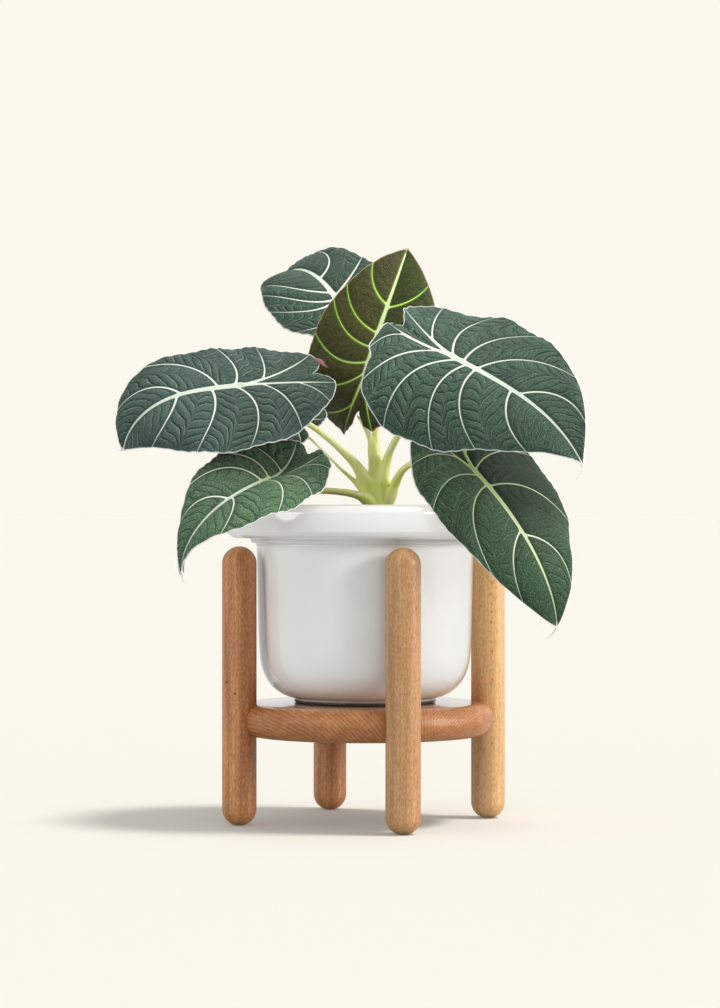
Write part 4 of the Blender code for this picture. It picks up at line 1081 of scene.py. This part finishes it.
def soil(material):
    """The soil's rough top over the plain body that fills the pot."""
    sides, rings = 150, 58
    rim = BODY_RADIUS - WALL - GAP
    profile = [(0.5, POT_BASE + 9.6), (47.0, POT_BASE + 9.6), (63.0, POT_BASE + 18.6),
               (71.6, POT_BASE + 42.6), (rim, RIM_Z - LIP_HEIGHT - 6.5)]
    points, faces = [], []
    for r, z in profile:
        points += [(r * math.cos(math.tau * k / sides), r * math.sin(math.tau * k / sides), z)
                   for k in range(sides)]
    for ring in range(rings):
        r = (rim - 0.2) * (1.0 - ring / rings)
        for k in range(sides):
            x, y = r * math.cos(math.tau * k / sides), r * math.sin(math.tau * k / sides)
            points.append((x, y, soil_height(x, y)))
    for ring in range(len(points) // sides - 1):
        for k in range(sides):
            a, b = ring * sides + k, ring * sides + (k + 1) % sides
            faces.append([a, b, b + sides, a + sides])
    last = len(points) - sides
    faces.append([last + k for k in range(sides)])
    faces.append(list(range(sides))[::-1])
    return new_object("soil_bed", points, faces, material)


def crumbs(name, count, sizes, material, seed):
    """Loose crumbs pressed into the soil's top, each a bent little stone of its own."""
    rng = np.random.default_rng(seed)
    bm = bmesh.new()
    bmesh.ops.create_icosphere(bm, subdivisions=1, radius=1.0)
    ball = np.array([v.co[:] for v in bm.verts])
    rings = [[v.index for v in face.verts] for face in bm.faces]
    bm.free()
    points, faces = [], []
    while len(points) < count:
        r, turn = 72.0 * math.sqrt(rng.random()), math.tau * rng.random()
        x, y = r * math.cos(turn), r * math.sin(turn)
        if math.hypot(x - CROWN_X, y - CROWN_Y) < CROWN_RADIUS + 1.0:
            continue
        size = rng.uniform(*sizes)
        body = ball * (1.0 + 0.25 * rng.standard_normal((len(ball), 1))) * rng.uniform(0.6, 1.2, 3) * size
        spin = rng.standard_normal((3, 3))
        turned = np.linalg.qr(spin)[0]
        if np.linalg.det(turned) < 0:
            turned[:, 0] *= -1
        points.append(body @ turned.T + (x, y, soil_height(x, y) + 0.25 * size))
        faces += [[c + (len(points) - 1) * len(ball) for c in face] for face in rings]
    made = new_object(name, np.vstack(points), faces, material)
    made.data.shade_smooth()
    return made


# Pot and stand

def start_editing(thing):
    bpy.ops.object.select_all(action="DESELECT")
    bpy.context.view_layer.objects.active = thing
    thing.select_set(True)
    bpy.ops.object.mode_set(mode="EDIT")
    bpy.ops.mesh.select_all(action="DESELECT")


def select_edges(thing, chosen):
    """In edit mode, selects the edges for which chosen(first end, second end) is true."""
    bm = bmesh.from_edit_mesh(thing.data)
    bpy.context.tool_settings.mesh_select_mode = (False, True, False)
    for edge in bm.edges:
        edge.select = chosen(edge.verts[0].co, edge.verts[1].co)
    bm.select_flush_mode()
    bmesh.update_edit_mesh(thing.data)


def place_mesh(thing):
    """Puts the object's place into its mesh, so that the object lies at the origin."""
    bpy.ops.object.select_all(action="DESELECT")
    bpy.context.view_layer.objects.active = thing
    thing.select_set(True)
    bpy.ops.object.transform_apply(location=True, rotation=True, scale=True)
    thing.select_set(False)


def add_cylinder(name, radius, depth, centre, vertices):
    bpy.ops.object.select_all(action="DESELECT")
    bpy.ops.mesh.primitive_cylinder_add(vertices=vertices, radius=radius * MM, depth=depth * MM,
                                        location=centre)
    made = bpy.context.object
    made.name = name
    made.data.name = name
    place_mesh(made)
    return made


def leg_place(name, height):
    angle = math.radians(LEG_ANGLES[name])
    return STAND + Vector((LEG_CIRCLE * math.sin(angle), -LEG_CIRCLE * math.cos(angle), height)) * MM


def dowel_leg(name, material):
    """A turned dowel: both end edges rounded right over, then the foot cut to its small flat."""
    sink = LEG_RADIUS - math.sqrt(LEG_RADIUS ** 2 - FOOT_FLAT ** 2)
    tall = LEG_HEIGHT + sink
    made = add_cylinder(name + "_dowel", LEG_RADIUS, tall, leg_place(name, LEG_HEIGHT - tall / 2), 72)
    start_editing(made)
    ends = (LEG_HEIGHT * MM, (LEG_HEIGHT - tall) * MM)
    select_edges(made, lambda a, b: any(abs(a.z - z) < 1e-5 and abs(b.z - z) < 1e-5 for z in ends))
    bpy.ops.mesh.bevel(offset=(LEG_RADIUS - 0.15) * MM, segments=14, affect="EDGES", clamp_overlap=False)
    bpy.ops.mesh.select_all(action="SELECT")
    bpy.ops.mesh.bisect(plane_co=leg_place(name, 0.0), plane_no=(0, 0, 1), use_fill=True, clear_inner=True,
                        threshold=0.000001)
    bpy.ops.mesh.select_all(action="SELECT")
    bpy.ops.mesh.remove_doubles(threshold=0.00001)
    bpy.ops.mesh.normals_make_consistent(inside=False)
    bpy.ops.object.mode_set(mode="OBJECT")
    bpy.ops.object.shade_smooth_by_angle(angle=math.radians(40))
    made.data.materials.append(material)
    return made


def round_shelf(material):
    """The shelf: a disc with its edge rounded right over, then notched for the legs."""
    half = SHELF_THICK / 2
    made = add_cylinder("shelf_board", SHELF_RADIUS, SHELF_THICK,
                        STAND + Vector((0, 0, SHELF_TOP - half)) * MM, 200)
    start_editing(made)
    ends = (SHELF_TOP * MM, (SHELF_TOP - SHELF_THICK) * MM)
    select_edges(made, lambda a, b: any(abs(a.z - z) < 1e-5 and abs(b.z - z) < 1e-5 for z in ends))
    bpy.ops.mesh.bevel(offset=(half - 0.05) * MM, segments=12, affect="EDGES", clamp_overlap=False)
    bpy.ops.mesh.select_all(action="SELECT")
    bpy.ops.mesh.remove_doubles(threshold=0.00001)
    bpy.ops.mesh.normals_make_consistent(inside=False)
    bpy.ops.object.mode_set(mode="OBJECT")
    for name in LEG_ANGLES:
        cutter = add_cylinder("notch", LEG_RADIUS + GAP, SHELF_THICK * 2,
                              leg_place(name, SHELF_TOP - half), 72)
        cut = made.modifiers.new("notch", "BOOLEAN")
        cut.operation = "DIFFERENCE"
        cut.object = cutter
        apply_modifiers(made)
        bpy.data.objects.remove(cutter, do_unlink=True)
    start_editing(made)
    bpy.ops.mesh.select_all(action="SELECT")
    bpy.ops.mesh.remove_doubles(threshold=0.00001)
    bpy.ops.mesh.normals_make_consistent(inside=False)
    bpy.ops.object.mode_set(mode="OBJECT")
    bpy.ops.object.shade_smooth_by_angle(angle=math.radians(35))
    made.data.materials.append(material)
    return made


def arc(center, radius, start, end, steps):
    angles = np.radians(np.linspace(start, end, steps))
    return [(center[0] + radius * math.cos(a), center[1] + radius * math.sin(a)) for a in angles]


def pot_profile():
    """Radius and height of the pot's section, from the middle of its foot round to its inside."""
    lip_low = RIM_Z - LIP_HEIGHT
    belly = POT_BASE + 52.0
    foot = [(0.0, POT_BASE + 2.0), (FOOT_RADIUS - 7.2, POT_BASE + 2.0), (FOOT_RADIUS - 6.6, POT_BASE + 1.4)]
    foot += arc((FOOT_RADIUS - 5.6, POT_BASE + 0.6), 0.6, 180.0, 270.0, 4)
    foot += arc((FOOT_RADIUS - 1.0, POT_BASE + 0.8), 0.8, 270.0, 360.0, 4)
    side = smooth_route([(FOOT_RADIUS, POT_BASE + 1.6), (FOOT_RADIUS + 0.8, POT_BASE + 3.2),
                         (FOOT_RADIUS + 8.0, POT_BASE + 5.6), (FOOT_RADIUS + 17.0, POT_BASE + 12.5),
                         (75.2, POT_BASE + 24.0), (77.6, POT_BASE + 40.0), (78.6, belly + 20.0),
                         (BODY_RADIUS, lip_low - 8.4), (BODY_RADIUS + 0.25, lip_low - 5.2)],
                        [3, 4, 6, 7, 7, 8, 6, 3])
    step = arc((BODY_RADIUS + 1.6, lip_low - 4.6), 1.1, 200.0, 90.0, 6)
    step += arc((BODY_RADIUS + 3.2, lip_low - 2.4), 1.1, 270.0, 360.0, 4)
    step += arc((BODY_RADIUS + 5.6, lip_low - 1.4), 1.1, 180.0, 90.0, 4)
    lip = smooth_route(arc((LIP_RADIUS - 8.0, lip_low + 8.0), 8.0, -90.0, -12.0, 6)
                       + arc((LIP_RADIUS - 7.5, RIM_Z - 7.5), 7.5, 8.0, 90.0, 6)
                       + arc((LIP_INNER + 4.0, RIM_Z - 4.0), 4.0, 90.0, 180.0, 5)
                       + [(LIP_INNER - 0.6, lip_low + 12.0)], [2] * 17)
    inner = smooth_route([(LIP_INNER - 1.2, lip_low + 6.0), (BODY_RADIUS - WALL + 1.0, lip_low - 3.0),
                          (BODY_RADIUS - WALL, lip_low - 8.0), (77.6 - WALL, POT_BASE + 42.0),
                          (69.0 - WALL, POT_BASE + 18.0), (48.0, POT_BASE + 9.0)], [4, 3, 4, 5, 4])
    return np.vstack([foot, side, step, lip, inner, [(0.0, POT_BASE + 8.0)]])


def glazed_pot(material):
    """The pot: its section drawn point by point, then spun about the stand's axis."""
    profile = pot_profile()
    bpy.ops.object.select_all(action="DESELECT")
    bpy.ops.mesh.primitive_circle_add(vertices=len(profile), radius=0.1, location=(0, 0, 0))
    made = bpy.context.object
    made.name = "pot_glazed"
    made.data.name = "pot_glazed"
    for vertex, (r, z) in zip(made.data.vertices, profile):
        vertex.co = STAND + Vector((r, 0.0, z)) * MM
    start_editing(made)
    ends = {0, len(profile) - 1}
    bm = bmesh.from_edit_mesh(made.data)
    bm.verts.ensure_lookup_table()
    closing = [edge for edge in bm.edges if {v.index for v in edge.verts} == ends]
    bmesh.ops.delete(bm, geom=closing, context="EDGES_FACES")
    bmesh.update_edit_mesh(made.data)
    bpy.ops.mesh.select_all(action="SELECT")
    bpy.ops.mesh.spin(steps=180, angle=math.tau, center=STAND, axis=(0, 0, 1), use_auto_merge=True)
    bpy.ops.mesh.select_all(action="SELECT")
    bpy.ops.mesh.remove_doubles(threshold=0.00001)
    bpy.ops.mesh.normals_make_consistent(inside=False)
    bpy.ops.object.mode_set(mode="OBJECT")
    bpy.ops.object.shade_smooth_by_angle(angle=math.radians(50))
    made.data.materials.append(material)
    return made


# Camera, floor and lights

def camera():
    data = bpy.data.cameras.new("camera")
    data.sensor_fit = "AUTO"
    data.sensor_width = 36.0
    data.lens = 111.18
    data.clip_end = 200.0
    made = bpy.data.objects.new("camera", data)
    made.location = STAND + Vector((-3.73, -2283.0, 232.7)) * MM
    made.rotation_euler = (math.radians(90), 0, 0)
    bpy.context.scene.collection.objects.link(made)
    bpy.context.scene.camera = made


def light_sun(name, azimuth, elevation, strength, angle, color):
    """A soft sun: azimuth from -Y towards +X, where it shines from."""
    data = bpy.data.lights.new(name, "SUN")
    data.energy = strength
    data.angle = math.radians(angle)
    data.color = color
    made = bpy.data.objects.new(name, data)
    a, e = math.radians(azimuth), math.radians(elevation)
    source = Vector((math.sin(a) * math.cos(e), -math.cos(a) * math.cos(e), math.sin(e)))
    made.rotation_euler = source.to_track_quat("Z", "Y").to_euler()
    bpy.context.scene.collection.objects.link(made)
    return made


def linked(name, things, state):
    """A collection that tells a light which things it lights or which throw a shadow."""
    made = bpy.data.collections.new(name)
    for thing in things:
        made.objects.link(thing)
    for entry in made.collection_objects:
        entry.light_linking.link_state = state
    return made


def stage():
    """A pale seamless floor, even light all round, and for gloss a darker side at the left and behind."""
    bpy.ops.object.select_all(action="DESELECT")
    bpy.ops.mesh.primitive_plane_add(size=120.0, location=(0, 0, 0))
    floor = bpy.context.object
    floor.name = "floor"
    made, tree, shader = new_material("pale floor", Roughness=1.0, Specular_IOR_Level=0.0)
    falling = [FILL * f + more + FLOOR_SUN[2] * math.sin(math.radians(FLOOR_SUN[1])) * c / math.pi
               for f, more, c in zip(FILL_COLOR, FLOOR_FILL, FLOOR_SUN[4])]
    seen = tuple(c / f for c, f in zip(BACKDROP, falling)) + (1.0,)
    path = put(tree, "ShaderNodeLightPath")
    color = blend(tree, path.outputs["Is Camera Ray"], FLOOR_BOUNCE, seen)
    tree.links.new(color, shader.inputs["Base Color"])
    floor.data.materials.append(made)
    world = bpy.data.worlds.new("studio")
    bpy.context.scene.world = world
    world.use_nodes = True
    tree = world.node_tree
    tree.nodes.clear()
    path = put(tree, "ShaderNodeLightPath")
    looking = put(tree, "ShaderNodeTexCoord").outputs["Generated"]
    aside = put(tree, "ShaderNodeVectorMath", {0: looking, 1: (-0.6, 0.8, 0.0)}, operation="DOT_PRODUCT")
    mirrored = ramp(tree, aside.outputs["Value"], 0.91, 0.985, MIRRORED, 0.1)
    strength = math_node(tree, "MULTIPLY_ADD", path.outputs["Is Glossy Ray"],
                         math_node(tree, "SUBTRACT", mirrored, FILL), FILL)
    fill = put(tree, "ShaderNodeBackground", {"Color": FILL_COLOR + (1.0,), "Strength": strength})
    seen = put(tree, "ShaderNodeBackground", {"Color": BACKDROP + (1.0,), "Strength": 1.0})
    mix = put(tree, "ShaderNodeMixShader", {0: path.outputs["Is Camera Ray"], 1: fill.outputs[0],
                                            2: seen.outputs[0]})
    out = put(tree, "ShaderNodeOutputWorld", {"Surface": mix.outputs[0]})
    out.is_active_output = True
    bpy.context.scene.view_settings.view_transform = "Standard"
    return floor


def lights(floor, pot, stalks, blades):
    """A key from the upper right, a low broad light from the right and a weak one from the front.
    Floor, pot and stalks have suns of their own, which the blades don't block."""
    everything = [thing for thing in bpy.data.objects if thing.type == "MESH"]
    for name, sun in SUNS.items():
        made = light_sun(name, *sun).light_linking
        made.receiver_collection = linked(name + " spares", [floor, pot], "EXCLUDE")
    for name, sun in POT_SUNS.items():
        made = light_sun(name, *sun).light_linking
        made.receiver_collection = linked(name + " lights", [pot], "INCLUDE")
        made.blocker_collection = linked(name + " passes", blades, "EXCLUDE")
    for name, sun, lit in (("crown sun", CROWN_SUN, stalks), ("floor sun", FLOOR_SUN, floor)):
        made = light_sun(name, *sun).light_linking
        made.receiver_collection = linked(name + " lights", [lit], "INCLUDE")
        made.blocker_collection = linked(name + " passes", blades, "EXCLUDE")
    made = light_sun("floor fill", 0.0, 90.0, math.pi, 5.0, FLOOR_FILL).light_linking
    made.receiver_collection = linked("floor fill lights", [floor], "INCLUDE")
    made.blocker_collection = linked("floor fill passes", everything, "EXCLUDE")


def settle(piece, slot, *nodes):
    """The piece rides on the part's one body and stands for its CAD nodes."""
    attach(piece, "root")
    if nodes:
        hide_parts(*nodes)


def build():
    camera()
    floor = stage()
    marks = blade_marks()
    silver = dict(vein_far=rgb(224, 231, 216), vein_end=rgb(158, 180, 162), vein_mid=rgb(204, 215, 197),
                  rim=rgb(248, 245, 244), under=rgb(156, 118, 112), under_vein=rgb(190, 180, 152),
                  line=rgb(126, 160, 136))
    looks = {
        "leaf_left": dict(silver, deep=rgb(16, 37, 27), mid=rgb(38, 64, 48), bloom_and_painted_highlight=rgb(82, 109, 90),
                          tint=rgb(60, 76, 83), vein_near=rgb(196, 212, 176), lime_reach=0.04, tinted=0.75,
                          under=rgb(162, 110, 110)),
        "leaf_right": dict(silver, deep=rgb(16, 39, 27), mid=rgb(38, 66, 48), bloom_and_painted_highlight=rgb(84, 113, 92),
                           tint=rgb(50, 74, 62), vein_near=rgb(200, 214, 184), lime_reach=0.04, grit=0.05),
        "leaf_back": dict(silver, deep=rgb(14, 34, 24), mid=rgb(32, 56, 41), bloom_and_painted_highlight=rgb(64, 93, 74),
                          tint=rgb(48, 71, 61), vein_near=rgb(200, 212, 186), lime_reach=0.04),
        # painted shade on the upper half near the stalk, where the blade above shadows it
        "leaf_low_left": dict(silver, deep=rgb(26, 52, 30), mid=rgb(60, 92, 60), bloom_and_painted_highlight=rgb(112, 146, 106),
                              tint=rgb(58, 88, 66), vein_near=rgb(180, 194, 146), lime_reach=0.35,
                              shade=(rgb(238, 234, 236), 0.0, 0.7)),
        # painted shadow of the blade above, near the stalk and reaching further on the first side
        "leaf_low_right": dict(silver, deep=rgb(16, 40, 20), mid=rgb(36, 65, 38), bloom_and_painted_highlight=rgb(70, 101, 66),
                               tint=rgb(38, 66, 42), vein_near=rgb(138, 158, 100), lime_reach=0.5, sheen=0.05,
                               shade=(rgb(108, 136, 108), 0.66, 0.26)),
        "leaf_small": dict(silver, deep=rgb(26, 46, 32), mid=rgb(50, 74, 56), bloom_and_painted_highlight=rgb(82, 106, 86),
                           tint=rgb(54, 72, 60), vein_near=rgb(170, 182, 120), lime_reach=0.5),
    }
    looks["leaf_low_right"]["vein_far"] = rgb(206, 216, 184)
    looks["leaf_low_right"]["vein_mid"] = rgb(184, 198, 152)
    # its second half painted yellower and darker, partly painted shade
    looks["leaf_young"] = dict(
        deep=rgb(40, 39, 6), mid=rgb(66, 66, 14), bloom_and_painted_highlight=rgb(82, 83, 24), tint=rgb(88, 76, 22),
        vein_far=rgb(204, 228, 106), vein_near=rgb(214, 230, 156), vein_end=rgb(164, 200, 70),
        vein_mid=rgb(226, 238, 186), line=rgb(98, 104, 46), rim=rgb(196, 164, 142), under=rgb(124, 104, 62),
        under_vein=rgb(168, 176, 92), lime_reach=0.3, line_strength=0.42, glow=(rgb(92, 136, 22), 0.8),
        shade=(rgb(206, 240, 84), 0.0, 2.0), roughness=0.5, sheen=0.03)
    for name, leaf in LEAVES.items():
        look = blade_material(name.replace("_", " ") + " velvet", marks, **looks[name])
        settle(fine_blade(name, leaf, look), "young" if name == "leaf_young" else "velvet", name)
    stalks = crown(stalk_material())
    settle(stalks, "stalk", "crown")
    pot = glazed_pot(glaze_material())
    settle(pot, "glaze", "pot")
    earth = soil_material("potting mix", rgb(44, 32, 24), rgb(86, 66, 50))
    bark = soil_material("bark crumb", rgb(70, 48, 32), rgb(128, 94, 66))
    settle(soil(earth), "soil", "soil")
    settle(crumbs("soil_crumbs", 620, (0.8, 2.6), bark, 7), "soil")
    perlite = soil_material("perlite", rgb(200, 196, 186), rgb(236, 233, 226), 0.8)
    settle(crumbs("soil_perlite", 90, (0.7, 1.7), perlite, 11), "soil")
    grain = grain_group()
    reddish = dict(light=rgb(224, 160, 102), dark=rgb(180, 112, 61))
    woods = {"leg_front": dict(light=rgb(206, 158, 106), dark=rgb(184, 132, 84), column=48.0),
             "leg_right": dict(light=rgb(227, 182, 125), dark=rgb(212, 161, 104), column=12.0),
             "leg_back": reddish,
             "leg_left": dict(reddish, knots=((-45.0, 104.0, 1.1), (-12.0, 96.0, 0.9)))}
    for name, wood in woods.items():
        look = dowel_material("beech " + name.replace("_", " "), grain, name, **wood)
        settle(dowel_leg(name, look), "beech", name)
    settle(round_shelf(board_material(grain)), "beech", "shelf")
    blades = [thing for thing in bpy.data.objects if thing.name.endswith("_blade")]
    lights(floor, pot, stalks, blades)


build()
